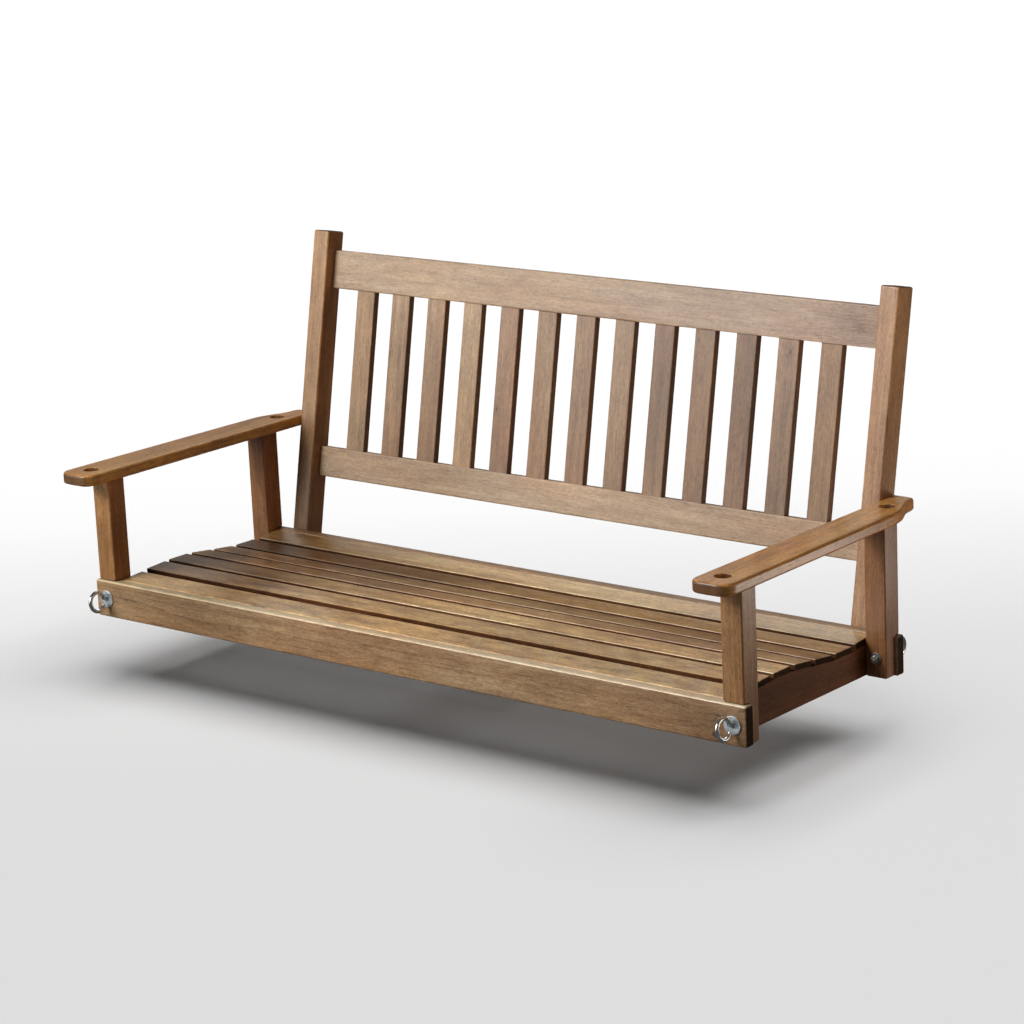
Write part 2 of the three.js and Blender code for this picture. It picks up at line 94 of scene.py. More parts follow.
# ------------------------------------------------------------------ node helper
class Tree:
    """Short calls for building a material's nodes."""

    def __init__(self, name):
        self.mat = bpy.data.materials.new(name)
        self.mat.use_nodes = True
        self.nt = self.mat.node_tree
        self.nt.nodes.clear()
        self.out = self.nt.nodes.new("ShaderNodeOutputMaterial")
        self.bsdf = self.nt.nodes.new("ShaderNodeBsdfPrincipled")
        self.nt.links.new(self.bsdf.outputs[0], self.out.inputs["Surface"])

    def put(self, socket, value):
        if isinstance(value, bpy.types.NodeSocket):
            self.nt.links.new(value, socket)
        else:
            socket.default_value = value

    def attr(self, name, output="Vector"):
        n = self.nt.nodes.new("ShaderNodeAttribute")
        n.attribute_name = name
        return n.outputs[output]

    def vec(self, op, a, b=None, out=0, scale=None):
        n = self.nt.nodes.new("ShaderNodeVectorMath")
        n.operation = op
        self.put(n.inputs[0], a)
        if b is not None:
            self.put(n.inputs[1], b)
        if scale is not None:
            self.put(n.inputs["Scale"], scale)
        return n.outputs[out]

    def math(self, op, a, b=None, c=None, clamp=False):
        n = self.nt.nodes.new("ShaderNodeMath")
        n.operation = op
        n.use_clamp = clamp
        for i, v in enumerate((a, b, c)):
            if v is not None:
                self.put(n.inputs[i], v)
        return n.outputs[0]

    def split(self, v):
        n = self.nt.nodes.new("ShaderNodeSeparateXYZ")
        self.put(n.inputs[0], v)
        return n.outputs

    def join(self, x, y, z):
        n = self.nt.nodes.new("ShaderNodeCombineXYZ")
        for i, v in enumerate((x, y, z)):
            self.put(n.inputs[i], v)
        return n.outputs[0]

    def noise(self, v, scale, detail=2.0, rough=0.5, out="Fac", distortion=0.0, lac=2.0):
        n = self.nt.nodes.new("ShaderNodeTexNoise")
        n.noise_dimensions = "3D"
        self.put(n.inputs["Vector"], self.vec("MULTIPLY", v, scale) if isinstance(scale, tuple) else v)
        n.inputs["Scale"].default_value = 1.0 if isinstance(scale, tuple) else scale
        n.inputs["Detail"].default_value = detail
        n.inputs["Roughness"].default_value = rough
        n.inputs["Lacunarity"].default_value = lac
        n.inputs["Distortion"].default_value = distortion
        return n.outputs[out]

    def voronoi(self, v, scale, feature="F1", out="Distance", rand=1.0):
        n = self.nt.nodes.new("ShaderNodeTexVoronoi")
        n.feature = feature
        self.put(n.inputs["Vector"], self.vec("MULTIPLY", v, scale) if isinstance(scale, tuple) else v)
        n.inputs["Scale"].default_value = 1.0 if isinstance(scale, tuple) else scale
        n.inputs["Randomness"].default_value = rand
        return n.outputs[out]

    def ramp(self, fac, stops, interp="LINEAR"):
        n = self.nt.nodes.new("ShaderNodeValToRGB")
        n.color_ramp.interpolation = interp
        el = n.color_ramp.elements
        while len(el) < len(stops):
            el.new(0.5)
        for e, (p, c) in zip(el, stops):
            e.position = p
            e.color = (c, c, c, 1) if isinstance(c, (int, float)) else (*c, 1)
        self.put(n.inputs[0], fac)
        return n.outputs[0]

    def span(self, v, a, b, lo=0.0, hi=1.0, smooth=False):
        n = self.nt.nodes.new("ShaderNodeMapRange")
        n.interpolation_type = "SMOOTHSTEP" if smooth else "LINEAR"
        n.clamp = True
        self.put(n.inputs["Value"], v)
        for k, x in (("From Min", a), ("From Max", b), ("To Min", lo), ("To Max", hi)):
            n.inputs[k].default_value = x
        return n.outputs[0]

    def mix(self, fac, a, b, mode="MIX"):
        n = self.nt.nodes.new("ShaderNodeMix")
        n.data_type = "RGBA"
        n.blend_type = mode
        n.clamp_result = False
        self.put(n.inputs[0], fac)
        self.put(n.inputs[6], a if isinstance(a, bpy.types.NodeSocket) else (*a, 1))
        self.put(n.inputs[7], b if isinstance(b, bpy.types.NodeSocket) else (*b, 1))
        return n.outputs[2]

    def bump(self, height, strength, distance, normal=None):
        n = self.nt.nodes.new("ShaderNodeBump")
        n.inputs["Strength"].default_value = strength
        n.inputs["Distance"].default_value = distance
        self.put(n.inputs["Height"], height)
        if normal is not None:
            self.put(n.inputs["Normal"], normal)
        return n.outputs[0]

    def normal(self):
        return self.nt.nodes.new("ShaderNodeNewGeometry").outputs["Normal"]


# ------------------------------------------------------------------ wood
# Colours are linear. Every board carries four attributes:
#   grain  the point in the board's own axes, metres from its pith line:
#          x along the grain, y across the width, z through the thickness
#   board  tone (1 is average), warmth (0 olive, 1 red), figure strength; along some boards tone and warmth carry
#   painted light and shade
#   knot   the point relative to the board's one knot, in units of its size
#   rounded-edge mask  1 along the middle of a rounded edge, for its wear and for a painted highlight
def wood(name, axis, dark, mid, light, rough=0.40, coat=0.25, coat_rough=0.22,
         end_dark=0.11, ring=0.5, streak=0.5, fleck=0.5, mottle=0.5, core_dark=0.55, spec=0.5, speckle=1.0, end=False):
    t = Tree(name)
    g0 = t.attr("grain")
    tone, warmth, figure = t.split(t.attr("board"))[:3]
    knot_v = t.attr("knot")
    edge_wear_and_highlight = t.attr("edge_wear_and_highlight", "Fac")

    # slow warp, so that no grain line is ruled straight
    warp = t.noise(g0, (1.6, 9.0, 9.0), 2.0, 0.5, out="Color")
    warp = t.vec("MULTIPLY", t.vec("SUBTRACT", warp, (0.5, 0.5, 0.5)), (0.0, 0.016, 0.016))
    fine = t.noise(g0, (9.0, 60.0, 60.0), 2.0, 0.6, out="Color")
    fine = t.vec("MULTIPLY", t.vec("SUBTRACT", fine, (0.5, 0.5, 0.5)), (0.0, 0.0022, 0.0022))
    g = t.vec("ADD", t.vec("ADD", g0, warp), fine)
    gx, gy, gz = t.split(g)[:3]

    # growth rings: distance from the pith line, bent round the knot
    rho = t.vec("LENGTH", t.join(0.0, gy, gz), out=1)
    kd = t.vec("LENGTH", knot_v, out=1)
    kn = t.math("POWER", 2.718, t.math("MULTIPLY", t.math("MULTIPLY", kd, kd), -0.55))
    width = t.noise(t.join(0.0, rho, 0.0), 46.0, 2.0, 0.6)          # wide and narrow years
    phase = t.math("ADD", t.math("MULTIPLY", rho, 215.0), t.math("MULTIPLY", width, 3.4))
    phase = t.math("ADD", phase, t.math("MULTIPLY", kn, 5.0))
    year = t.math("FRACT", phase)
    rings = t.ramp(year, [(0.0, 0.30), (0.10, 0.42), (0.55, 0.55), (0.86, 0.86), (0.95, 1.0), (1.0, 0.30)], "EASE")
    rings = t.math("SUBTRACT", rings, 0.55)
    strength = t.span(t.noise(g0, (1.3, 16.0, 16.0), 1.0), 0.34, 0.66, 0.25, 1.0)
    rings = t.math("MULTIPLY", rings, strength)

    # streaks and fibres along the grain, at four sizes
    band = t.noise(g, (2.2, 75.0, 75.0), 3.0, 0.55)
    streaks = t.noise(g, (9.0, 300.0, 300.0), 3.0, 0.6)
    fibres = t.noise(g, (42.0, 1150.0, 1150.0), 3.0, 0.65)
    mott = t.noise(g0, (24.0, 62.0, 62.0), 3.0, 0.62)
    speck = t.noise(g, (150.0, 430.0, 430.0), 2.0, 0.7)
    patch = t.noise(g0, (4.2, 15.0, 15.0), 2.0, 0.55)
    blotch = t.noise(g0, (1.7, 5.0, 5.0), 1.0, 0.5)

    # short open pores that took up more stain
    pore_a = t.noise(g, (95.0, 1050.0, 1050.0), 1.0, 0.5)
    pore_a = t.span(pore_a, 0.60, 0.70)
    pore_b = t.noise(g, (230.0, 2300.0, 2300.0), 1.0, 0.5)
    pore_b = t.span(pore_b, 0.62, 0.70)
    clump = t.span(t.noise(g, (7.0, 90.0, 90.0), 2.0), 0.38, 0.62, 0.15, 1.0)
    pores = t.math("MAXIMUM", t.math("MULTIPLY", pore_a, clump), t.math("MULTIPLY", pore_b, 0.6))
    flecks = t.span(t.noise(g, (36.0, 240.0, 240.0), 2.0, 0.6), 0.55, 0.72)

    def part(value, k):
        return t.math("MULTIPLY", t.math("SUBTRACT", value, 0.5), k)

    v = t.math("ADD", 0.5, t.math("MULTIPLY", rings, -0.42 * ring))
    for value, k in ((band, 0.62 * streak), (streaks, 0.62 * streak), (fibres, 0.44), (speck, 0.50 * speckle),
                     (patch, 0.70 * mottle), (blotch, 0.55 * mottle)):
        v = t.math("ADD", v, part(value, k))
    v = t.math("ADD", v, t.math("MULTIPLY", part(mott, 0.85 * mottle), figure))
    v = t.math("SUBTRACT", v, t.math("MULTIPLY", flecks, 0.18 * fleck))
    v = t.math("SUBTRACT", v, t.math("MULTIPLY", kn, 0.16))
    core = t.span(kd, 0.10, 0.34, 1.0, 0.0, True)
    v = t.math("SUBTRACT", v, t.math("MULTIPLY", core, core_dark))

    lo = tuple(c * 0.45 for c in dark)
    col = t.ramp(v, [(0.0, lo), (0.22, dark), (0.50, mid), (0.78, light),
                     (1.0, tuple(min(1, c * 1.22) for c in light))], "LINEAR")
    # stain: redder and yellower patches, then the board's cast, whose warmth along the seat slats also carries painted
    # sheen
    amber = t.span(t.noise(t.vec("ADD", g0, (3.1, 0.4, 0.2)), (3.4, 13.0, 13.0), 2.0, 0.6), 0.42, 0.68)
    col = t.mix(t.math("MULTIPLY", amber, 0.55), col, t.mix(1.0, col, (1.10, 0.90, 0.70), "MULTIPLY"))
    plum = t.span(t.noise(t.vec("ADD", g0, (7.7, 0.9, 0.5)), (2.6, 10.0, 10.0), 2.0, 0.6), 0.44, 0.70)
    col = t.mix(t.math("MULTIPLY", plum, 0.55), col, t.mix(1.0, col, (0.90, 0.80, 0.80), "MULTIPLY"))
    cast = t.mix(warmth, (0.97, 1.04, 0.90), (1.05, 0.95, 0.98))
    col = t.mix(1.0, col, cast, "MULTIPLY")
    # a darker tone is deeper in colour too, a lighter one paler: each board's stain, and along some boards painted
    # light and shade
    stain = t.join(t.math("POWER", tone, 0.92), tone, t.math("POWER", tone, 1.22))
    col = t.mix(1.0, col, stain, "MULTIPLY")
    col = t.mix(t.math("MULTIPLY", pores, 0.72), col, t.mix(1.0, col, (0.42, 0.36, 0.30), "MULTIPLY"))
    # end grain drinks the stain and goes dark
    facing = t.math("ABSOLUTE", t.vec("DOT_PRODUCT", t.normal(), axis, out=1))
    cut = t.span(facing, 0.45, 0.92, 0.0, 1.0, True)
    tubes = t.span(t.noise(g0, (60.0, 900.0, 900.0), 2.0), 0.42, 0.60)
    col_end = t.mix(1.0, col, tuple(end_dark * c for c in (1.0, 0.94, 0.88)), "MULTIPLY")
    col_end = t.mix(t.math("MULTIPLY", tubes, 0.5), col_end, t.mix(1.0, col_end, (0.5, 0.45, 0.4), "MULTIPLY"))
    col = t.mix(cut, col, col_end)
    # painted highlight along the rounded edges, where the finish is also rubbed a little thin: paler in patches
    rub_and_highlight = t.math("MULTIPLY", edge_wear_and_highlight, t.span(t.noise(g0, (28.0, 160.0, 160.0), 3.0), 0.40, 0.66))
    col = t.mix(t.math("MULTIPLY", rub_and_highlight, 0.55), col, t.mix(1.0, col, (1.46, 1.44, 1.40), "MULTIPLY"))
    t.put(t.bsdf.inputs["Base Color"], col)

    r = t.math("ADD", rough, t.math("ADD", part(streaks, 0.10), part(mott, 0.12)))
    r = t.math("ADD", r, t.math("MULTIPLY", pores, 0.22))
    r = t.math("ADD", r, t.math("MULTIPLY", cut, 0.16))
    r = t.math("SUBTRACT", r, t.math("MULTIPLY", edge_wear_and_highlight, 0.04), clamp=True)
    t.put(t.bsdf.inputs["Roughness"], r)

    h = t.math("ADD", t.math("MULTIPLY", fibres, 0.5), t.math("MULTIPLY", streaks, 0.8))
    h = t.math("ADD", h, t.math("MULTIPLY", rings, -0.25))
    h = t.math("SUBTRACT", h, t.math("MULTIPLY", pores, 0.9))
    b1 = t.bump(h, 0.30, 0.00022)
    # the sanded board is never quite flat, which breaks up what it reflects
    wave = t.noise(g0, (9.0, 30.0, 30.0), 1.0, 0.5)
    peel = t.noise(g0, 330.0, 1.0, 0.5)
    wave = t.math("ADD", wave, t.math("MULTIPLY", peel, 0.05))
    b2 = t.bump(wave, 0.35, 0.0010, b1)
    t.put(t.bsdf.inputs["Normal"], b2)
    # the film sits on the faces; sawn ends soak it up and stay matt
    t.bsdf.inputs["Coat Weight"].default_value = 0.0 if end else coat
    t.bsdf.inputs["Coat Roughness"].default_value = coat_rough
    t.bsdf.inputs["Specular IOR Level"].default_value = 0.10 if end else spec
    t.bsdf.inputs["IOR"].default_value = 1.5
    return t.mat


def wood_pair(name, axis, *colours, **kw):
    """The board's faces, and the same wood seen on its sawn ends."""
    return (wood(name, axis, *colours, **kw), wood(name + "_end_grain", axis, *colours, **{**kw, "rough": 0.62}, end=True),
            Vector(axis))


# ------------------------------------------------------------------ zinc plated steel
def zinc(name, base, rough, tint):
    t = Tree(name)
    p = t.nt.nodes.new("ShaderNodeTexCoord").outputs["Object"]
    cloud = t.noise(p, 90.0, 4.0, 0.6)
    grit = t.noise(p, 900.0, 2.0, 0.6)
    spangle = t.voronoi(p, 420.0, out="Color")
    spangle = t.split(spangle)[0]
    v = t.math("ADD", t.math("MULTIPLY", cloud, 0.7), t.math("MULTIPLY", spangle, 0.3))
    low = tuple(c * 0.66 for c in base)
    col = t.ramp(v, [(0.25, low), (0.5, base), (0.75, tuple(min(1, c * 1.15) for c in base))])
    stain = t.span(t.noise(p, 160.0, 3.0, 0.6), 0.45, 0.7)
    col = t.mix(t.math("MULTIPLY", stain, 0.5), col, t.mix(1.0, col, tint, "MULTIPLY"))
    rust = t.span(t.noise(t.vec("ADD", p, (2.0, 1.0, 0.3)), 240.0, 4.0, 0.7), 0.66, 0.76)
    col = t.mix(t.math("MULTIPLY", rust, 0.5), col, (0.16, 0.10, 0.06))
    t.put(t.bsdf.inputs["Base Color"], col)
    r = t.math("ADD", rough, t.math("MULTIPLY", t.math("SUBTRACT", cloud, 0.5), 0.25))
    r = t.math("ADD", r, t.math("MULTIPLY", rust, 0.3), clamp=True)
    t.put(t.bsdf.inputs["Roughness"], r)
    t.bsdf.inputs["Metallic"].default_value = 1.0
    h = t.math("ADD", t.math("MULTIPLY", grit, 0.6), cloud)
    t.put(t.bsdf.inputs["Normal"], t.bump(h, 0.25, 0.00012))
    return t.mat


# ------------------------------------------------------------------ mesh helpers
def take(node):
    """The node's own solid as a clean bmesh: welded, flat faces merged."""
    bm = bmesh.new()
    bm.from_mesh(NODES[node].data)
    bmesh.ops.remove_doubles(bm, verts=bm.verts[:], dist=1e-5)
    bmesh.ops.dissolve_limit(bm, angle_limit=math.radians(0.6), verts=bm.verts[:],
                             edges=bm.edges[:], use_dissolve_boundaries=False)
    bmesh.ops.recalc_face_normals(bm, faces=bm.faces[:])
    bm.faces.layers.int.new("round")
    return bm


def plane(normal, point):
    return (Vector(normal), Vector(normal).dot(Vector(point)))


def picks(bm, planes, need=2, tol=6e-5):
    """Outward corners that lie on at least `need` of the planes."""
    out = []
    for e in bm.edges:
        if len(e.link_faces) != 2 or not e.is_convex or e.calc_face_angle(0) < 0.5:
            continue
        n = sum(1 for p, d in planes if all(abs(p.dot(v.co) - d) < tol for v in e.verts))
        if n >= need:
            out.append(e)
    return out


def round_off(bm, edges, radius, segments=4):
    lay = bm.faces.layers.int["round"]
    res = bmesh.ops.bevel(bm, geom=edges, offset=radius, offset_type="OFFSET", segments=segments,
                          profile=0.5, affect="EDGES", clamp_overlap=True)
    for f in res["faces"]:
        f[lay] = 1


def to_object(bm, name, sharp=32.0):
    """Object from the bmesh: smooth faces, sharp where it is not rounded, closed n-gons kept."""
    lay = bm.faces.layers.int.get("round")
    # 1 along the middle of each rounded edge: the mask for its wear and for a painted highlight
    edge_wear_and_highlight = bm.verts.layers.float.new("edge_wear_and_highlight")
    if lay is not None:
        for v in bm.verts:
            v[edge_wear_and_highlight] = 1.0 if v.link_faces and all(f[lay] for f in v.link_faces) else 0.0
    for f in bm.faces:
        f.smooth = True
    for e in bm.edges:
        e.smooth = not (len(e.link_faces) == 2 and e.calc_face_angle(0) > math.radians(sharp))
    me = bpy.data.meshes.new(name)
    bm.to_mesh(me)
    bm.free()
    ob = bpy.data.objects.new(name, me)
    bpy.context.scene.collection.objects.link(ob)
    wn = ob.modifiers.new("normals", "WEIGHTED_NORMAL")
    wn.keep_sharp = True
    wn.weight = 60
    return ob


def slice_up(bm, axis, count):
    """Cuts the board across at even steps, so that its tone can drift along it."""
    spots = [v.co.dot(axis) for v in bm.verts]
    a, b = min(spots), max(spots)
    for k in range(1, count):
        bmesh.ops.bisect_plane(bm, geom=bm.verts[:] + bm.edges[:] + bm.faces[:], dist=1e-6,
                               plane_co=axis * (a + (b - a) * k / count), plane_no=axis)


def along(values, s):
    """Smooth value at s (0 to 1) through evenly spaced ones; a plain number stays as it is."""
    if isinstance(values, (int, float)):
        return values
    s = min(max(s, 0.0), 1.0) * (len(values) - 1)
    i = min(int(s), len(values) - 2)
    f = s - i
    f = f * f * (3 - 2 * f)
    return values[i] * (1 - f) + values[i + 1] * f


def set_attr(me, name, kind, values):
    a = me.attributes.get(name) or me.attributes.new(name, kind, "POINT")
    key = "vector" if kind == "FLOAT_VECTOR" else "value"
    a.data.foreach_set(key, [c for v in values for c in v] if kind == "FLOAT_VECTOR" else list(values))


def finish_board(ob, node, mat, axes, origin, seed, tone=1.0, warmth=0.5, figure=1.0,
                 knot=None, pith=None, body="swing_frame", flat_ends=True, shade=None, edges=()):
    """Grain coordinates and the board's cast (its tone and warmth, along some boards with painted light and shade),
    then its material, body and CAD node.
    """
    rng = random.Random(seed)
    u, v, w = axes
    off = rng.uniform(2.0, 40.0)
    if pith is None:
        side = rng.choice((-1, 1))
        pith = (rng.uniform(-0.05, 0.05), side * rng.uniform(0.055, 0.16))
    grain, kn, cast = [], [], []
    reach = [(v.co - origin).dot(u) for v in ob.data.vertices]
    r_lo, r_hi = min(reach), max(reach)
    for vert in ob.data.vertices:
        p = vert.co - origin
        a, b, c = p.dot(u), p.dot(v), p.dot(w)
        grain.append((a + off, b - pith[0], c - pith[1]))
        s = (a - r_lo) / (r_hi - r_lo)
        k, dw = shade(p, s) if shade else (1.0, 0.0)
        cast.append((along(tone, s) * k, along(warmth, s) + dw, figure))
        kn.append(((a - knot[0]) / (knot[2] * 1.7), (b - knot[1]) / knot[2], 0.0) if knot else (40.0, 40.0, 0.0))
    set_attr(ob.data, "grain", "FLOAT_VECTOR", grain)
    set_attr(ob.data, "knot", "FLOAT_VECTOR", kn)
    set_attr(ob.data, "board", "FLOAT_VECTOR", cast)
    face_mat, end_mat, axis = mat
    ob.data.materials.clear()
    ob.data.materials.append(face_mat)
    if flat_ends:
        ob.data.materials.append(end_mat)
        for poly in ob.data.polygons:
            if abs(poly.normal.dot(axis)) > 0.93:
                poly.material_index = 1
    for edge_mat, on in edges:
        ob.data.materials.append(edge_mat)
        for poly in ob.data.polygons:
            if on(poly.normal):
                poly.material_index = len(ob.data.materials) - 1
    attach(ob, body)
    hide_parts(node)
    return ob


# ------------------------------------------------------------------ materials
M_FRAME = wood_pair("wood_frame", (1, 0, 0), (0.195, 0.110, 0.053), (0.340, 0.211, 0.109), (0.520, 0.357, 0.204),
               rough=0.42, ring=0.65, streak=0.6, fleck=1.0, mottle=0.45, speckle=1.25)
M_SEAT = wood_pair("wood_seat", (1, 0, 0), (0.196, 0.100, 0.036), (0.369, 0.210, 0.080), (0.572, 0.360, 0.150),
              end_dark=0.07, rough=0.36, coat=0.35, coat_rough=0.2, ring=0.5, streak=0.6, fleck=0.9, mottle=0.75, speckle=1.25)
# Dark copy of the seat wood for the slats' front and rear faces down in the gaps: painted shade.
M_SEAT_GAP_SHADE = wood("wood_seat_painted_gap_shade", (1, 0, 0), (0.034, 0.011, 0.003), (0.066, 0.023, 0.007), (0.112, 0.043, 0.014),
                   rough=0.62, coat=0.0, spec=0.12, ring=0.5, streak=0.5, fleck=0.7, mottle=0.5)
# Pale copy of the seat wood for the front roundings of slats 3 to 7: a painted glint.
M_SEAT_GLINT = wood("wood_seat_painted_edge_glint", (1, 0, 0), (0.26, 0.18, 0.10), (0.42, 0.31, 0.18), (0.58, 0.45, 0.29),
                     rough=0.40, coat=0.2, ring=0.4, streak=0.5, fleck=0.6, mottle=0.9)
M_BACK = wood_pair("wood_back", (1, 0, 0), (0.269, 0.166, 0.100), (0.440, 0.302, 0.193), (0.624, 0.459, 0.316),
              core_dark=0.12, rough=0.44, ring=0.5, streak=0.5, fleck=0.6, mottle=0.45)
M_SLAT = wood_pair("wood_back_slats", tuple(UP_BACK), (0.171, 0.090, 0.044), (0.287, 0.166, 0.084), (0.423, 0.264, 0.141),
              rough=0.44, ring=0.6, streak=0.6, fleck=0.6, mottle=0.5)
# Darker, redder copy of the slat wood for the back slats' side faces: painted shade.
M_SLAT_SIDE_SHADE = wood("wood_back_slat_sides_painted_shade", tuple(UP_BACK), (0.128, 0.058, 0.024), (0.215, 0.107, 0.048), (0.318, 0.172, 0.080),
                   rough=0.50, ring=0.5, streak=0.6, fleck=0.6, mottle=0.5)
M_BPOST = wood_pair("wood_back_posts", tuple(UP_BACK), (0.259, 0.131, 0.057), (0.447, 0.248, 0.115), (0.634, 0.388, 0.198),
               rough=0.42, ring=0.6, streak=0.6, fleck=0.6, mottle=0.45)
M_POST = wood_pair("wood_arm_posts", (0, 0, 1), (0.183, 0.084, 0.030), (0.329, 0.165, 0.064), (0.504, 0.285, 0.123),
              rough=0.42, ring=0.6, streak=0.7, fleck=0.6, mottle=0.45)
M_ARM = wood_pair("wood_arms", (0, 1, 0), (0.309, 0.131, 0.032), (0.552, 0.265, 0.068), (0.850, 0.445, 0.125),
             end_dark=0.30, rough=0.37, coat=0.35, coat_rough=0.2, ring=0.6, streak=0.55, fleck=0.6, mottle=0.6)
# Redder copies of the post woods for the faces turned to the right under the arms: painted warm bounce light in the
# shade, darker on the rear left post as painted shade.
M_REAR_POST_WARM_SHADE = wood("wood_rear_post_inner_face", (0, 0, 1), (0.184, 0.068, 0.019), (0.332, 0.132, 0.040), (0.508, 0.230, 0.078),
                    rough=0.45, ring=0.6, streak=0.7, fleck=0.6, mottle=0.45)
M_POST_WARM_BOUNCE = wood("wood_posts_inner_faces", (0, 0, 1), (0.210, 0.080, 0.025), (0.378, 0.157, 0.053), (0.580, 0.270, 0.102),
                    rough=0.45, ring=0.6, streak=0.7, fleck=0.6, mottle=0.45)
M_BPOST_WARM_BOUNCE = wood("wood_back_posts_inner_faces", tuple(UP_BACK), (0.290, 0.126, 0.046), (0.500, 0.238, 0.094), (0.710, 0.372, 0.162),
                     rough=0.45, ring=0.6, streak=0.6, fleck=0.6, mottle=0.45)
# Pale copy of the frame wood for the front rail's top faces: a painted sheen.
M_TOP_SHEEN = wood("wood_frame_painted_top_sheen", (1, 0, 0), (0.42, 0.32, 0.19), (0.66, 0.53, 0.34), (0.86, 0.72, 0.50),
             rough=0.42, ring=0.4, streak=0.5, fleck=0.8, mottle=0.5)
M_SIDE = wood_pair("wood_side_rails", (0, 1, 0), (0.072, 0.027, 0.009), (0.132, 0.052, 0.018), (0.218, 0.092, 0.034),
              rough=0.55, coat=0.0, spec=0.2, ring=0.5, streak=0.6, fleck=0.6, mottle=0.5)
M_DOWEL = wood_pair("wood_dowel", (1, 0, 0), (0.30, 0.20, 0.11), (0.46, 0.33, 0.19), (0.60, 0.46, 0.29),
                    rough=0.6, coat=0.0, ring=0.3, streak=0.5, fleck=0.3, mottle=0.3)
M_ZINC = zinc("zinc_bright", (0.80, 0.83, 0.84), 0.19, (0.88, 1.0, 1.05))
M_ZINC_FLAT = zinc("zinc_washer", (0.82, 0.86, 0.87), 0.46, (0.90, 1.0, 1.04))
M_ZINC_DULL = zinc("zinc_dull", (0.46, 0.46, 0.45), 0.38, (1.06, 1.0, 0.88))


# ------------------------------------------------------------------ full-width rails
def box_planes(node):
    lo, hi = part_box(node)
    return [plane(a, lo) for a in (X, Y, Z)] + [plane(a, hi) for a in (X, Y, Z)]


for node, seed, tone, warm, knot in (
        ("front_rail", 11, (0.95, 0.72, 1.05, 0.98, 1.08, 1.05, 1.00), 0.50, (0.585, 0.012, 0.020)),
        ("rear_rail", 12, 0.92, 0.55, None)):
    bm = take(node)
    round_off(bm, picks(bm, box_planes(node)), 3.2 * MM, 5)
    slice_up(bm, X, 16)
    ob = to_object(bm, node + "_board")
    lo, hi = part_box(node)

    def painted_top_sheen(p, s, height=hi.z - lo.z):
        """Painted sheen along the front board's top edge: a little darker at the left end, paler to the right."""
        k = min(max((p.z - (height - 2.6 * MM)) / (1.2 * MM), 0.0), 1.0)
        return 1.0 + k * (-0.14 + 0.26 * min(1.0, 2.2 * s)), 0.0
    front = node == "front_rail"
    # the front rail's top faces take the pale copy and its top edge the painted sheen
    finish_board(ob, node, M_FRAME, (X, Z, Y), Vector((0, lo.y, lo.z)), seed,
                 tone, warm, 1.0, knot, shade=painted_top_sheen if front else None,
                 edges=[(M_TOP_SHEEN, lambda n: n.z > 0.30)] if front else [])

# ------------------------------------------------------------------ side rails and middle support
for node, seed, tone in (("side_rail_left", 21, 1.0), ("side_rail_right", 22, (0.84, 0.86, 1.00, 0.96, 0.78)),
                         ("seat_support_center", 23, 1.1)):
    bm = take(node)
    lo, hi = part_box(node)
    ends = [plane(Y, lo), plane(Y, hi)]
    rim = [e for e in picks(bm, [plane(X, lo), plane(X, hi)], need=1)
           if not any(all(abs(p.dot(v.co) - d) < 6e-5 for v in e.verts) for p, d in ends)]
    round_off(bm, rim, 1.6 * MM, 3)
    slice_up(bm, Y, 8)
    ob = to_object(bm, node + "_board")
    finish_board(ob, node, M_SIDE, (Y, Z, X), Vector((lo.x, Y0, lo.z)), seed, tone, 0.5)

# ------------------------------------------------------------------ seat slats
# Per slat: seed, tone and warmth at seven stations from left to right, figure. The tones are partly each board's own
# and partly painted light: painted sheen makes the middles paler and less warm, and painted shade darkens the left
# ends.
SEAT = {1: (31, (0.98, 0.98, 1.52, 1.78, 1.34, 1.76, 1.82), (0.20, 0.35, 0.15, 0.15, 0.20, 0.15, 0.15), 1.5),
        2: (32, (0.49, 0.62, 1.68, 1.42, 1.16, 1.28, 1.32), (0.75, 0.65, 0.30, 0.30, 0.35, 0.30, 0.30), 1.4),
        3: (33, (0.28, 0.42, 1.30, 2.80, 1.64, 2.08, 2.18), (0.85, 0.70, 0.40, 0.05, 0.15, 0.15, 0.15), 1.3),
        4: (34, (0.77, 0.83, 1.02, 1.66, 1.78, 1.80, 1.82), (0.80, 0.80, 0.65, 0.50, 0.45, 0.50, 0.50), 1.0),
        5: (35, (0.97, 0.97, 1.03, 1.22, 1.40, 1.20, 1.20), (0.75, 0.70, 0.65, 0.45, 0.45, 0.55, 0.55), 1.0),
        6: (36, (0.30, 0.40, 0.70, 1.24, 1.56, 1.32, 1.32), (0.90, 0.85, 0.75, 0.55, 0.45, 0.50, 0.50), 0.9),
        7: (37, (0.96, 1.04, 1.40, 1.92, 1.96, 1.44, 1.32), (0.35, 0.30, 0.15, 0.10, 0.05, 0.15, 0.20), 0.9)}


for i, (seed, tone, warm, fig) in SEAT.items():
    node = f"seat_slat_{i}"
    bm = take(node)
    round_off(bm, [e for e in bm.edges if e.calc_face_angle(0) > 0.5], 1.8 * MM, 4)
    slice_up(bm, X, 16)
    ob = to_object(bm, node + "_board")
    lo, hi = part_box(node)
    # the slats' front and rear faces take the dark copy: painted shade in the gaps
    finish_board(ob, node, M_SEAT, (X, Y, Z), Vector((0, lo.y, lo.z)), seed, tone, warm, fig,
                 edges=[(M_SEAT_GAP_SHADE, (lambda n: n.y > 0.75) if i == 1 else (lambda n: abs(n.y) > 0.80))]
                 # slats 3 to 7: the pale copy on the front rounding, a painted glint
                 + ([(M_SEAT_GLINT, lambda n: n.z > 0.35 and n.y < -0.42 and abs(n.x) < 0.3)] if i > 2 else []))
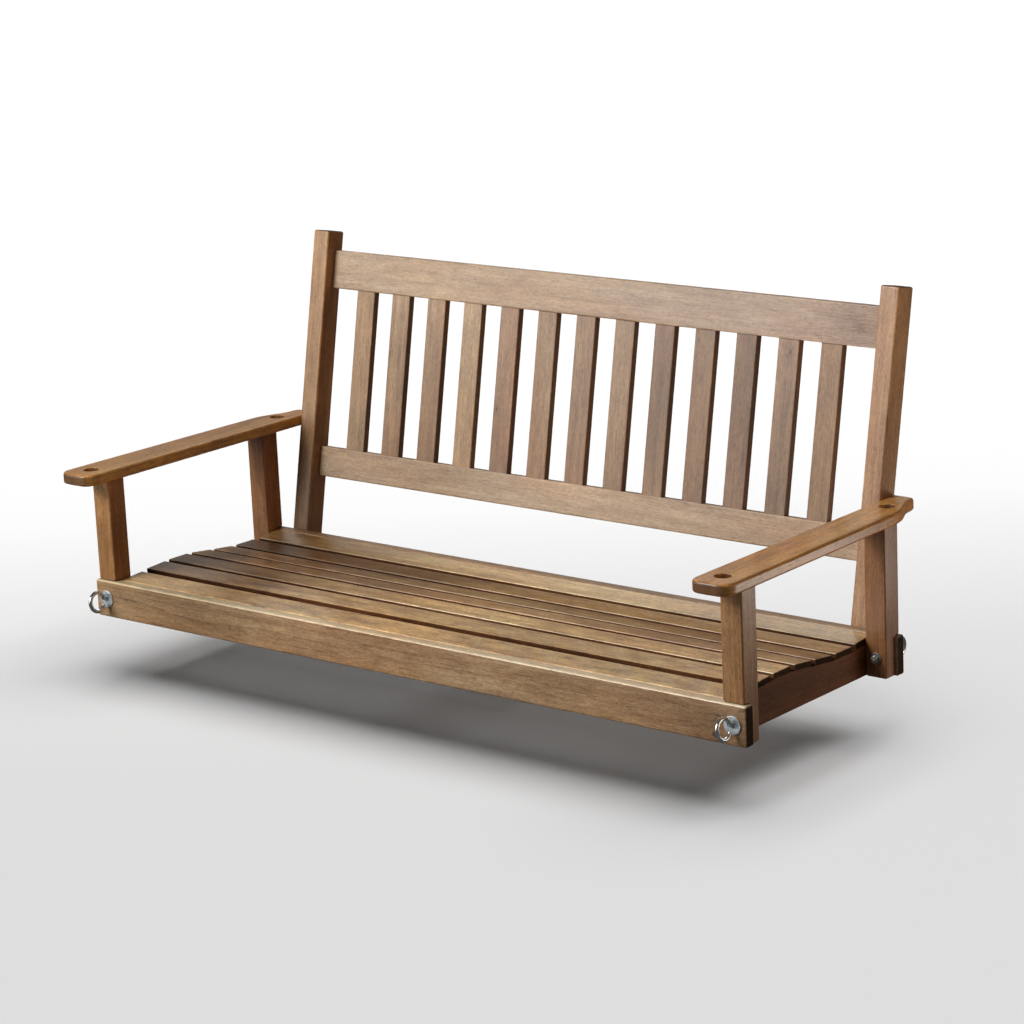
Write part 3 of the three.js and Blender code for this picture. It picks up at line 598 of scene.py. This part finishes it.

# ------------------------------------------------------------------ arm posts
# rear_post_left: a low, red tone, painted shade under the left arm
for node, seed, tone, warm in (("front_post_left", 41, (0.96, 0.96, 0.94, 2.15), 0.15), ("front_post_right", 42, (0.98, 1.00, 1.10, 1.26), 0.50),
                               ("rear_post_left", 43, (0.60, 0.64, 0.84, 0.68, 0.50), 0.9), ("rear_post_right", 44, 0.8, 0.7)):
    bm = take(node)
    lo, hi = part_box(node)
    top = plane(Z, hi)
    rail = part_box("front_rail" if node.startswith("front") else "rear_rail")[1].z
    notch = plane(Z, (0, 0, rail + 0.3 * MM))
    planes = [plane(X, lo), plane(X, hi), plane(Y, lo), plane(Y, hi), plane(Z, lo), notch]
    round_off(bm, picks(bm, planes), 3.0 * MM, 5)
    slice_up(bm, Z, 6)
    ob = to_object(bm, node + "_board")
    half = (hi.x - lo.x) / 2 - 0.5 * MM

    def right_face_painted_light(p, s, half=half, node=node):
        """Painted light on the posts' right-hand faces: a painted shadow of the arm near the top of the front left
        post, a painted highlight half-way up the front right one, and the rear left one's face kept lighter than its
        painted-shade front.
        """
        face = {"front_post_left": 1.0 - 1.25 * max(0.0, s - 0.66),
                "front_post_right": 0.84 + 0.38 * max(0.0, 1.0 - abs(s - 0.64) / 0.30),
                "rear_post_left": 1.55}.get(node, 1.0)
        return (face if p.x > half else 1.0), 0.0
    # the left posts' right-hand faces take a redder copy: painted warm light in the shade under the arm
    inner = {"front_post_left": M_POST_WARM_BOUNCE, "rear_post_left": M_REAR_POST_WARM_SHADE}.get(node)
    finish_board(ob, node, M_POST, (Z, X, Y), Vector(((lo.x + hi.x) / 2, (lo.y + hi.y) / 2, 0)),
                 seed, tone, warm, shade=right_face_painted_light, edges=[(inner, lambda n: n.x > 0.80)] if inner else [])


# ------------------------------------------------------------------ arms
def bezier(a, b, c, d, n):
    out = []
    for i in range(1, n + 1):
        s = i / n
        k = ((1 - s) ** 3, 3 * s * (1 - s) ** 2, 3 * s * s * (1 - s), s ** 3)
        out.append(tuple(sum(w * p[j] for w, p in zip(k, (a, b, c, d))) for j in (0, 1)))
    return out


def line(a, b, n):
    return [(a[0] + (b[0] - a[0]) * i / n, a[1] + (b[1] - a[1]) * i / n) for i in range(1, n + 1)]


def arm_outline():
    """Right arm from above, counter-clockwise from the rear inner corner, millimetres."""
    p = []
    p += line((603, 472), (577.8, 472), 6)
    p += bezier((577.8, 472), (576.0, 472), (574.85, 471), (574.87, 469), 5)     # eased rear inner corner
    p += line((574.87, 469), (579.5, -30), 40)
    p += bezier((579.5, -30), (579.7, -44), (587, -52), (601, -52), 14)
    p += line((601, -52), (624, -52), 4)
    p += bezier((624, -52), (638, -52), (646.5, -44), (646.5, -28), 14)
    p += line((646.5, -28), (636.5, 378), 34)
    p += bezier((636.5, 378), (635.6, 412), (620, 424), (615.6, 446), 16)
    p += bezier((615.6, 446), (613.8, 455), (616, 472), (603, 472), 14)
    return p


def ring_of(cx, cy, r, n):
    return [(cx + r * math.cos(2 * math.pi * i / n), cy - r * math.sin(2 * math.pi * i / n)) for i in range(n)]


def offset(loop, d):
    """Moves a closed loop by d to its right hand side (inwards on a counter-clockwise outline)."""
    n, out = len(loop), []
    for i in range(n):
        a, b, c = loop[i - 1], loop[i], loop[(i + 1) % n]
        t1 = Vector((b[0] - a[0], b[1] - a[1])).normalized()
        t2 = Vector((c[0] - b[0], c[1] - b[1])).normalized()
        n1, n2 = Vector((-t1.y, t1.x)), Vector((-t2.y, t2.x))
        m = n1 + n2
        m = m / max(m.length_squared, 1e-9) * 2
        out.append((b[0] + m.x * d, b[1] + m.y * d))
    return out


def rounded_plate(loops, z0, z1):
    """Closed plate with rounded rims. loops: (points, top radius, bottom radius), the outline first."""
    bm = bmesh.new()
    lay = bm.faces.layers.int.new("round")
    caps = {0: [], 1: []}
    for pts, rt, rb in loops:
        rings = []
        steps = 6
        for k in range(steps + 1):
            a = math.pi / 2 * k / steps
            rings.append((offset(pts, rb * (1 - math.sin(a))), z0 + rb * (1 - math.cos(a)), 0 < k < steps))
        for k in range(steps + 1):
            a = math.pi / 2 * k / steps
            rings.append((offset(pts, rt * (1 - math.cos(a))), z1 - rt * (1 - math.sin(a)), 0 < k < steps))
        rows = [[bm.verts.new((x * MM, y * MM, z * MM)) for x, y in r] for r, z, _ in rings]
        n = len(pts)
        for k in range(len(rows) - 1):
            curved = k < steps or k > steps
            for i in range(n):
                j = (i + 1) % n
                f = bm.faces.new((rows[k][i], rows[k][j], rows[k + 1][j], rows[k + 1][i]))
                f[lay] = 1 if curved else 0
        caps[0].append(rows[0])
        caps[1].append(rows[-1])
    for side in (0, 1):
        edges = []
        for row in caps[side]:
            for i in range(len(row)):
                e = bm.edges.get((row[i], row[(i + 1) % len(row)]))
                edges.append(e)
        bmesh.ops.triangle_fill(bm, use_beauty=True, use_dissolve=False, edges=edges)
    bmesh.ops.dissolve_limit(bm, angle_limit=math.radians(0.05), verts=[], use_dissolve_boundaries=False,
                             edges=[e for e in bm.edges if all(len(f.verts) == 3 for f in e.link_faces)])
    bmesh.ops.recalc_face_normals(bm, faces=bm.faces[:])
    return bm


ARM_Z = (228.2, 246.2)
for side, sx in (("right", 1), ("left", -1)):
    holes = [ring_of(612, -12, 12.0, 56), ring_of(603.5, 410, 12.0, 56)]
    bm = rounded_plate([(arm_outline(), 4.4, 3.6), (holes[0], 1.6, 1.2), (holes[1], 1.6, 1.2)], *ARM_Z)
    for v in bm.verts:
        v.co = Vector((v.co.x * sx, v.co.y + Y0, v.co.z))
    if sx < 0:
        bmesh.ops.reverse_faces(bm, faces=bm.faces[:])
    ob = to_object(bm, f"arm_{side}_board")
    lo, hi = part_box(f"arm_{side}")
    toe = Vector((-sx * 0.0170, 1, 0)).normalized()

    def inner_edge_painted_light(p, s):
        """Painted light: the left arm's long inner edge, turned to the right, is lighter than its top."""
        inner = 30.5 + 4.63 * (p.y / MM + 30) / 502
        return (1.28 if p.x / MM > inner - 2.0 and -28 < p.y / MM < 468 else 1.0), 0.0
    tone = (0.98, 1.01, 1.12, 0.94, 0.80, 1.02, 1.12, 1.14) if sx > 0 else (0.88, 0.92, 1.10, 1.00, 0.86, 0.90, 0.98, 1.06)
    finish_board(ob, f"arm_{side}", M_ARM, (toe, toe.cross(Z), Z), Vector((sx * 0.61, Y0, lo.z)),
                 51 + (sx > 0), tone, 0.6 if sx > 0 else 0.35, 1.0, flat_ends=False,
                 shade=None if sx > 0 else inner_edge_painted_light)

# ------------------------------------------------------------------ leaning back
B_LO, B_HI = 19.1 * MM, 38.2 * MM


def back_plane_d(d):
    return plane(IN_BACK, BACK_REF + IN_BACK * d)


def back_plane_s(s):
    return plane(UP_BACK, BACK_REF + UP_BACK * s)


# back_post_left is dark below the arm: a painted shadow of the arm.
for node, seed, tone, warm in (
        ("back_post_left", 61, (0.40, 0.40, 0.42, 0.48, 0.82, 0.84, 0.86, 0.92, 0.95), 0.40),
        ("back_post_right", 62, (0.95, 0.92, 0.95, 1.0, 1.0, 1.05, 1.05, 1.06, 1.06), 0.50)):
    bm = take(node)
    lo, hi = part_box(node)
    planes = [plane(X, lo), plane(X, hi), back_plane_d(0), back_plane_d(38.8 * MM), back_plane_s(358.5 * MM),
              plane(Y, (0, YR + 0.3 * MM, 0)), plane(Z, lo)]
    round_off(bm, picks(bm, planes), 3.4 * MM, 5)
    slice_up(bm, UP_BACK, 16)
    ob = to_object(bm, node + "_board")
    mid = Vector(((lo.x + hi.x) / 2, BACK_REF.y, BACK_REF.z)) + IN_BACK * 19.4 * MM
    half = (hi.x - lo.x) / 2 - 0.5 * MM
    slope, level = (1.0, 0.40) if node.endswith("right") else (-1.1, 0.75)

    def right_face_painted_light(p, s, half=half, slope=slope, level=level):
        """Painted light and shade on the back posts' right-hand faces: their tone drifts up their length, apart from
        their fronts.
        """
        base = 0.87 if slope > 0 else 1.05
        return (min(1.32, max(0.82, base + slope * (s - level))) if p.x > half else 1.0), 0.0
    # the left back post's right-hand face takes a redder copy: painted warm light in the shade
    finish_board(ob, node, M_BPOST, (UP_BACK, X, IN_BACK), mid, seed, tone, warm, shade=right_face_painted_light,
                 edges=[(M_BPOST_WARM_BOUNCE, lambda n: n.x > 0.80)] if node.endswith("left") else [])

for node, (a, b), seed, tone, warm, knot in (
        ("back_top_rail", (264.1 * MM, 327.3 * MM), 63, (1.09, 1.05, 1.00, 0.97, 0.90, 0.87), (0.35, 0.35, 0.45, 0.50, 0.65, 0.70), (0.500, 0.030, 0.030)),
        ("back_lower_rail", (-50.8 * MM, -1.0 * MM), 64, (0.93, 0.84, 1.07, 0.98, 1.12), 0.40, None)):
    bm = take(node)
    planes = [back_plane_d(B_LO), back_plane_d(B_HI), back_plane_s(a), back_plane_s(b)]
    round_off(bm, picks(bm, planes), 2.8 * MM, 5)
    slice_up(bm, X, 16)
    ob = to_object(bm, node + "_board")
    finish_board(ob, node, M_BACK, (X, UP_BACK, IN_BACK), BACK_REF + UP_BACK * a + IN_BACK * B_LO,
                 seed, tone, warm, 1.0, knot)

SLAT_TONE = [(1.10, 1.26, 1.46), (0.94, 0.93, 1.46), (0.72, 0.84, 1.30), (1.60, 1.48, 1.70), (0.86, 1.16, 1.22),
             (1.05, 1.10, 1.10), (1.02, 0.98, 1.06), (0.82, 1.16, 1.02), (0.97, 0.68, 0.87), (0.85, 0.96, 1.03),
             (1.00, 0.67, 0.70), (0.72, 0.95, 1.58), (0.96, 1.16, 1.10)]
SLAT_WARM = [0.15, 0.35, 0.45, 0.10, 0.55, 0.40, 0.55, 0.40, 0.65, 0.50, 0.70, 0.60, 0.35]
for i in range(13):
    node = f"back_slat_{i + 1:02d}"
    bm = take(node)
    lo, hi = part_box(node)
    mid_d = (B_LO + B_HI) / 2
    planes = [plane(X, lo), plane(X, hi), back_plane_d(mid_d - 6.25 * MM), back_plane_d(mid_d + 6.25 * MM)]
    round_off(bm, picks(bm, planes), 1.8 * MM, 4)
    slice_up(bm, UP_BACK, 6)
    ob = to_object(bm, node + "_board")
    xc = (lo.x + hi.x) / 2
    knot = {11: (0.245, 0.004, 0.009), 4: (0.10, -0.012, 0.006)}.get(i)
    # the slats' side faces take the darker copy: painted shade
    finish_board(ob, node, M_SLAT, (UP_BACK, X, IN_BACK),
                 Vector((xc, BACK_REF.y, BACK_REF.z)) + IN_BACK * mid_d, 70 + i, SLAT_TONE[i], SLAT_WARM[i], 1.0, knot,
                 edges=[(M_SLAT_SIDE_SHADE, lambda n: abs(n.x) > 0.80)])


# ------------------------------------------------------------------ turned and swept metal
def lathe(profile, n=64, close=True):
    """Closed solid of revolution about Y; profile is a closed list of (radius, y)."""
    bm = bmesh.new()
    rows = []
    for r, y in profile:
        if r < 1e-7:
            rows.append([bm.verts.new((0, y, 0))])
        else:
            rows.append([bm.verts.new((r * math.cos(2 * math.pi * i / n), y, r * math.sin(2 * math.pi * i / n)))
                         for i in range(n)])
    m = len(rows)
    for k in range(m if close else m - 1):
        a, b = rows[k], rows[(k + 1) % m]
        if len(a) == 1 and len(b) == 1:
            continue
        for i in range(n):
            j = (i + 1) % n
            if len(a) == 1:
                bm.faces.new((a[0], b[j], b[i]))
            elif len(b) == 1:
                bm.faces.new((a[i], a[j], b[0]))
            else:
                bm.faces.new((a[i], a[j], b[j], b[i]))
    bmesh.ops.recalc_face_normals(bm, faces=bm.faces[:])
    return bm


def arc(cx, cy, r, a0, a1, n):
    return [(cx + r * math.cos(math.radians(a0 + (a1 - a0) * i / n)),
             cy + r * math.sin(math.radians(a0 + (a1 - a0) * i / n))) for i in range(n + 1)]


def washer_mesh(outer, inner, thick, e=0.45):
    o, i = outer * MM, inner * MM
    t, e = thick * MM, e * MM
    prof = (arc(o - e, e, e, -90, 0, 4) + arc(o - e, t - e, e, 0, 90, 4)
            + arc(i + e * 0.6, t - e * 0.6, e * 0.6, 90, 180, 3) + arc(i + e * 0.6, e * 0.6, e * 0.6, 180, 270, 3))
    return lathe(prof, 72)


def place(bm, origin, rot):
    m = Matrix.Translation(origin) @ rot
    bmesh.ops.transform(bm, matrix=m, verts=bm.verts[:])
    bmesh.ops.recalc_face_normals(bm, faces=bm.faces[:])


def catmull(points, per):
    out = []
    n = len(points)
    for i in range(n - 1):
        p0, p1, p2 = points[max(i - 1, 0)], points[i], points[i + 1]
        p3 = points[min(i + 2, n - 1)]
        for k in range(per):
            s = k / per
            out.append(0.5 * ((2 * p1) + (p2 - p0) * s + (2 * p0 - 5 * p1 + 4 * p2 - p3) * s * s
                              + (3 * p1 - p0 - 3 * p2 + p3) * s ** 3))
    out.append(points[-1])
    return out


def eye_bolt_mesh(end):
    """Bent wire eye with a rolled thread on its shank. Shank along +Y, eye towards -Y, in the YZ plane."""
    wire, ring_r, ring_c = 3.2, 15.0, 21.0
    pts = [Vector((0, 0.5, 0))]
    for a in (8, 16, 24, 32, 40, 49, 58):
        t = math.radians(a)
        pts.append(Vector((0, -1.0 - 7.6 * math.sin(t), 7.6 * (1 - math.cos(t)))))
    for a in range(28, 333, 8):
        t = math.radians(a)
        pts.append(Vector((0, -ring_c + ring_r * math.cos(t), ring_r * math.sin(t))))
    bend = catmull(pts, 3)
    # the threaded shank, drawn from its end to the bend with the thread as a helix
    n = 40
    pitch, crest, root = 1.27, 3.18, 2.72
    rows = []
    thread_from = 14.0
    steps_per = 8
    ys = []
    y = end
    while y > thread_from:
        ys.append(y)
        y -= pitch / steps_per
    smooth = [13.5, 12, 9, 6, 3, 1.5]
    bm = bmesh.new()
    x_ax = Vector((1, 0, 0))
    for y in ys:
        row = []
        tip = min(1.0, (end - y) / 1.2)
        run = min(1.0, (y - thread_from) / 1.5)
        for i in range(n):
            a = 2 * math.pi * i / n
            ph = ((y / pitch) + a / (2 * math.pi)) % 1.0
            h = 1 - abs(2 * ph - 1)
            h = min(1.0, max(0.0, (h - 0.12) / 0.76))
            r = root + (crest - root) * h
            r = r * run + crest * (1 - run)
            r *= 0.80 + 0.20 * tip
            row.append(bm.verts.new((r * math.cos(a) * MM, y * MM, r * math.sin(a) * MM)))
        rows.append(row)
    for y in smooth:
        rows.append([bm.verts.new((wire * math.cos(2 * math.pi * i / n) * MM, y * MM,
                                   wire * math.sin(2 * math.pi * i / n) * MM)) for i in range(n)])
    last = len(bend) - 1
    for k, c in enumerate(bend):
        tan = (bend[min(k + 1, last)] - bend[max(k - 1, 0)]).normalized()
        side = tan.cross(x_ax).normalized()
        # the sawn end of the wire is eased
        left = last - k
        shrink = 1.0 if left > 1 else (0.93 if left == 1 else 0.78)
        row = []
        for i in range(n):
            a = 2 * math.pi * i / n
            # x stays x, z of the shank turns into the side direction
            q = c + (x_ax * math.cos(a) + side * math.sin(a)) * wire * shrink
            row.append(bm.verts.new(q * MM))
        rows.append(row)
    # line the bend's rows up with the shank's, whichever way their circles run
    for k in range(len(rows) - 1):
        a, b = rows[k], rows[k + 1]
        straight = sum((a[i].co - b[i].co).length for i in range(n))
        flipped = sum((a[i].co - b[-i % n].co).length for i in range(n))
        if flipped < straight * 0.999:
            rows[k + 1] = b = [b[-i % n] for i in range(n)]
        for i in range(n):
            j = (i + 1) % n
            bm.faces.new((a[i], a[j], b[j], b[i]))
    bm.faces.new(rows[0])
    bm.faces.new(rows[-1])
    bmesh.ops.recalc_face_normals(bm, faces=bm.faces[:])
    return bm


def nut_mesh(flats, thick, bore):
    """Hexagon nut with both faces chamfered and a countersunk bore, axis Y."""
    n = 72
    ap = flats / 2
    rows = []
    bm = bmesh.new()

    def hex_r(a):
        a = (a + math.pi / 6) % (math.pi / 3) - math.pi / 6
        return ap / math.cos(a)
    levels = [("bore", 0.55, bore), ("bore", 0.0, bore + 0.5), ("cone", 0.0, ap * 0.95), ("chamfer", None, 0),
              ("chamfer", None, 1), ("cone", thick, ap * 0.95), ("bore", thick, bore + 0.5), ("bore", thick - 0.55, bore)]
    for kind, y, r in levels:
        row = []
        for i in range(n):
            a = 2 * math.pi * i / n
            if kind == "chamfer":
                rr = hex_r(a)
                drop = (rr - ap * 0.95) * math.tan(math.radians(30))
                yy = drop if r == 0 else thick - drop
            else:
                rr, yy = r, y
            row.append(bm.verts.new((rr * math.cos(a) * MM, yy * MM, rr * math.sin(a) * MM)))
        rows.append(row)
    for k in range(len(rows)):
        a, b = rows[k], rows[(k + 1) % len(rows)]
        for i in range(n):
            j = (i + 1) % n
            bm.faces.new((a[i], a[j], b[j], b[i]))
    bmesh.ops.recalc_face_normals(bm, faces=bm.faces[:])
    return bm


def hardware(bm, name, node, body, mat, sharp=38.0):
    ob = to_object(bm, name, sharp)
    ob.data.materials.append(mat)
    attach(ob, body)
    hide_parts(node)
    return ob


G, TW, NT = 0.3, 1.6, 5.2
NUT_W = 39.5 + G
NUT_Y = NUT_W + TW + G
END = NUT_Y + NT + 5.0
for where, sx, rear, turn in (("front_left", -1, False, -6), ("front_right", 1, False, -8),
                              ("rear_left", -1, True, 8), ("rear_right", 1, True, -5)):
    origin = Vector((sx * 0.612, YR if rear else Y0, 0.030))
    rot = Matrix.Rotation(math.pi if rear else 0.0, 4, "Z") @ Matrix.Rotation(math.radians(turn), 4, "Y")
    body = f"eye_{where}"
    bm = eye_bolt_mesh(END)
    place(bm, origin, rot)
    hardware(bm, f"eye_{where}_ring_bolt", f"eye_bolt_{where}", body, M_ZINC)
    for nm, node, mesh, y, mat in (
            ("eye_washer", "eye_washer", washer_mesh(14.0, 3.5, TW), -G - TW, M_ZINC_FLAT),
            ("nut_washer", "nut_washer", washer_mesh(9.0, 3.5, TW), NUT_W, M_ZINC_DULL),
            ("hex_nut", "nut", nut_mesh(10.0, NT, 3.5), NUT_Y, M_ZINC_DULL)):
        bmesh.ops.translate(mesh, vec=(0, y * MM, 0), verts=mesh.verts[:])
        place(mesh, origin, rot)
        hardware(mesh, f"eye_{where}_{nm}", f"{node}_{where}", body, mat)


def screw_mesh(head_r, head_t, shank_r, length, recess):
    """Pan head with a square drive, then a shank with a coarse thread, axis Y, head towards -Y."""
    n = 48
    bm = bmesh.new()
    rows = []

    def row(f):
        r = []
        for i in range(n):
            a = 2 * math.pi * i / n
            rr, y = f(a)
            r.append(bm.verts.new((rr * math.cos(a) * MM, y * MM, rr * math.sin(a) * MM)))
        rows.append(r)

    def square(a, half):
        b = (a + math.pi / 4) % (math.pi / 2) - math.pi / 4
        return half / math.cos(b)
    q = recess
    row(lambda a: (square(a, q * 0.55), -head_t + min(2.0, head_t * 0.7)))
    row(lambda a: (square(a, q), -head_t + min(1.9, head_t * 0.65)))
    row(lambda a: (square(a, q), -head_t + 0.12))
    row(lambda a: (square(a, q) + 0.15, -head_t))
    row(lambda a: (head_r * 0.58, -head_t))
    for k in range(1, 6):
        b = math.pi / 2 * k / 5
        row(lambda a, b=b: (head_r * 0.58 + head_r * 0.42 * math.sin(b), -head_t + head_t * 0.62 * (1 - math.cos(b))))
    row(lambda a: (head_r, -0.12))
    row(lambda a: (head_r - 0.15, 0.0))
    row(lambda a: (shank_r + 0.05, 0.0))
    plain = length * 0.38
    row(lambda a: (shank_r * 0.98, 0.5))
    row(lambda a: (shank_r * 0.98, plain))
    pitch = 2.3
    y = plain + 0.2
    while y < length - 0.3:
        taper = min(1.0, (length - y) / (shank_r * 2.4))
        row(lambda a, y=y, k=taper: ((shank_r * (0.70 + 0.30 * max(0.0, 1 - abs((((y / pitch) - a / (2 * math.pi)) % 1.0) - 0.5) * 4)))
                                     * (0.18 + 0.82 * k), y))
        y += pitch / 7
    for k in range(len(rows) - 1):
        a, b = rows[k], rows[k + 1]
        for i in range(n):
            j = (i + 1) % n
            bm.faces.new((a[i], a[j], b[j], b[i]))
    bm.faces.new(rows[0])
    bm.faces.new(rows[-1])
    bmesh.ops.recalc_face_normals(bm, faces=bm.faces[:])
    return bm


def dowel_mesh(r, length):
    """Fluted wooden pin with chamfered ends, centred, axis Y."""
    n = 96
    bm = bmesh.new()
    rows = []
    h = length / 2
    for y, k in ((-h, 0.80), (-h + 1.0, 1.0), (0, 1.0), (h - 1.0, 1.0), (h, 0.80)):
        rows.append([bm.verts.new(((r * k - 0.22 * (1 + math.cos(16 * 2 * math.pi * i / n))) * math.cos(2 * math.pi * i / n) * MM, y * MM,
                                   (r * k - 0.22 * (1 + math.cos(16 * 2 * math.pi * i / n))) * math.sin(2 * math.pi * i / n) * MM))
                     for i in range(n)])
    for a, b in zip(rows, rows[1:]):
        for i in range(n):
            j = (i + 1) % n
            bm.faces.new((a[i], a[j], b[j], b[i]))
    bm.faces.new(rows[0])
    bm.faces.new(rows[-1])
    bmesh.ops.recalc_face_normals(bm, faces=bm.faces[:])
    return bm


LAG_X = (574.45 - 33.1 / 2) * MM
for side, sx in (("left", -1), ("right", 1)):
    for level, z in (("lower", 22), ("upper", 42)):
        bm = screw_mesh(6.4, 3.3, 2.6, 35.6, 2.2)
        place(bm, Vector((sx * LAG_X, Y0 + 424.3 * MM, z * MM)), Matrix.Rotation(math.pi, 4, "Z"))
        hardware(bm, f"lag_{level}_{side}", f"lag_bolt_{level}_{side}", "swing_frame", M_ZINC_DULL)
    bm = dowel_mesh(3.95, 33.0)
    lo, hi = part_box(f"arm_dowel_{side}")
    place(bm, Vector(((lo.x + hi.x) / 2, (lo.y + hi.y) / 2, (lo.z + hi.z) / 2)), Matrix.Rotation(math.pi / 2, 4, "Z"))
    ob = to_object(bm, f"arm_{side}_dowel")
    finish_board(ob, f"arm_dowel_{side}", M_DOWEL, (X, Y, Z), Vector((0, lo.y, lo.z)), 95 + (sx > 0))


# ------------------------------------------------------------------ stage and light
FLOOR_Z = -0.100
# the direction in which the floor's painted light falloff pales to white
BACKWARDS = Vector((-0.638, 0.770, 0))       # towards the white end of the studio


def make_stage():
    """Pale floor, painted paler to white behind the seat as a painted light falloff, and a white surround that only
    shows, without lighting.
    """
    bm = bmesh.new()
    bmesh.ops.create_grid(bm, x_segments=30, y_segments=30, size=30.0)
    me = bpy.data.meshes.new("studio_floor")
    bm.to_mesh(me)
    bm.free()
    floor = bpy.data.objects.new("studio_floor", me)
    bpy.context.scene.collection.objects.link(floor)
    floor.location = (0, 0, FLOOR_Z)
    t = Tree("studio_floor")
    p = t.nt.nodes.new("ShaderNodeTexCoord").outputs["Object"]
    s = t.vec("DOT_PRODUCT", p, tuple(BACKWARDS), out=1)
    s = t.span(s, -2.0, 4.0)
    # the floor's colour pales to white behind the seat: painted light, for the falloff of a lit studio sweep
    c = t.ramp(s, [(0.28, (0.695, 0.695, 0.697)), (0.367, (0.73, 0.73, 0.731)), (0.445, (0.82, 0.82, 0.82)),
                   (0.53, (0.93, 0.93, 0.93)), (0.68, (0.99, 0.99, 0.99))])
    t.put(t.bsdf.inputs["Base Color"], c)
    t.bsdf.inputs["Roughness"].default_value = 0.9
    t.bsdf.inputs["Specular IOR Level"].default_value = 0.0
    me.materials.append(t.mat)
    floor.visible_diffuse = floor.visible_glossy = False
    floor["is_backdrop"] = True

    bm = bmesh.new()
    bmesh.ops.create_icosphere(bm, subdivisions=4, radius=28.0)
    me = bpy.data.meshes.new("studio_surround")
    bm.to_mesh(me)
    bm.free()
    dome = bpy.data.objects.new("studio_surround", me)
    bpy.context.scene.collection.objects.link(dome)
    dome.location = (0, 0, 0)
    mat = bpy.data.materials.new("studio_surround")
    mat.use_nodes = True
    nt = mat.node_tree
    nt.nodes.clear()
    glow = nt.nodes.new("ShaderNodeEmission")
    glow.inputs["Color"].default_value = (1, 1, 1, 1)
    glow.inputs["Strength"].default_value = 1.0
    out = nt.nodes.new("ShaderNodeOutputMaterial")
    nt.links.new(glow.outputs[0], out.inputs["Surface"])
    me.materials.append(mat)
    dome.visible_diffuse = dome.visible_glossy = dome.visible_transmission = dome.visible_shadow = False
    dome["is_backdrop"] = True
    return floor


FLOOR = make_stage()
only_floor = bpy.data.collections.new("only_floor")
only_floor.objects.link(FLOOR)
all_but_floor = bpy.data.collections.new("all_but_floor")
all_but_floor.objects.link(FLOOR)
all_but_floor.collection_objects[0].light_linking.link_state = "EXCLUDE"


def area(name, loc, target, size, power, color=(1, 1, 1)):
    lamp = bpy.data.lights.new(name, "AREA")
    lamp.shape = "RECTANGLE"
    lamp.size, lamp.size_y = size
    lamp.energy = power
    lamp.color = color
    ob = bpy.data.objects.new(name, lamp)
    bpy.context.scene.collection.objects.link(ob)
    ob.location = loc
    ob.rotation_euler = (Vector(target) - Vector(loc)).to_track_quat("-Z", "Y").to_euler()
    ob.visible_camera = False
    ob.light_linking.receiver_collection = all_but_floor
    return ob


def floor_light(name, strength, shadow=True):
    """Broad overhead light for the floor alone: the seat's shadow falls straight below it."""
    lamp = bpy.data.lights.new(name, "SUN")
    lamp.energy = strength
    lamp.angle = math.radians(66)
    lamp.use_shadow = shadow
    ob = bpy.data.objects.new(name, lamp)
    bpy.context.scene.collection.objects.link(ob)
    ob.location = (0, 0, 4)
    ob.rotation_euler = (math.radians(-7), math.radians(10), 0)
    ob.light_linking.receiver_collection = only_floor
    return ob


floor_light("floor_light", 2.88)
floor_light("floor_base", 0.24, shadow=False)
area("key", (-1.6, -3.2, 2.6), (0, 0.1, 0.2), (1.6, 1.6), 149, (0.975, 1.0, 1.045))
area("fill_left", (-2.3, -2.9, 1.5), (0, 0.1, 0.2), (1.4, 1.2), 31)
area("low_left", (-2.4, -3.0, 0.45), (0, 0.1, 0.2), (1.6, 1.0), 11)
area("rear_card", (-2.4, 2.9, 2.25), (0, 0.1, 0.2), (2.6, 0.9), 20, (1.0, 0.95, 0.86))
area("right_card", (1.15, 0.5, 0.02), (0.64, 0.0, 0.2), (0.45, 0.16), 1.2, (1.0, 0.90, 0.80))
area("warm_right", (3.3, 0.7, 1.0), (0, 0.1, 0.2), (3.0, 2.0), 10.5, (1.0, 0.66, 0.38))

world = bpy.data.worlds.new("studio")
bpy.context.scene.world = world
world.use_nodes = True
bg = world.node_tree.nodes["Background"]
bg.inputs["Color"].default_value = (1.0, 1.0, 1.0, 1)
bg.inputs["Strength"].default_value = 0.08
bpy.context.scene.view_settings.view_transform = "Standard"

# ------------------------------------------------------------------ sizes, then the last line
lo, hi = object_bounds()
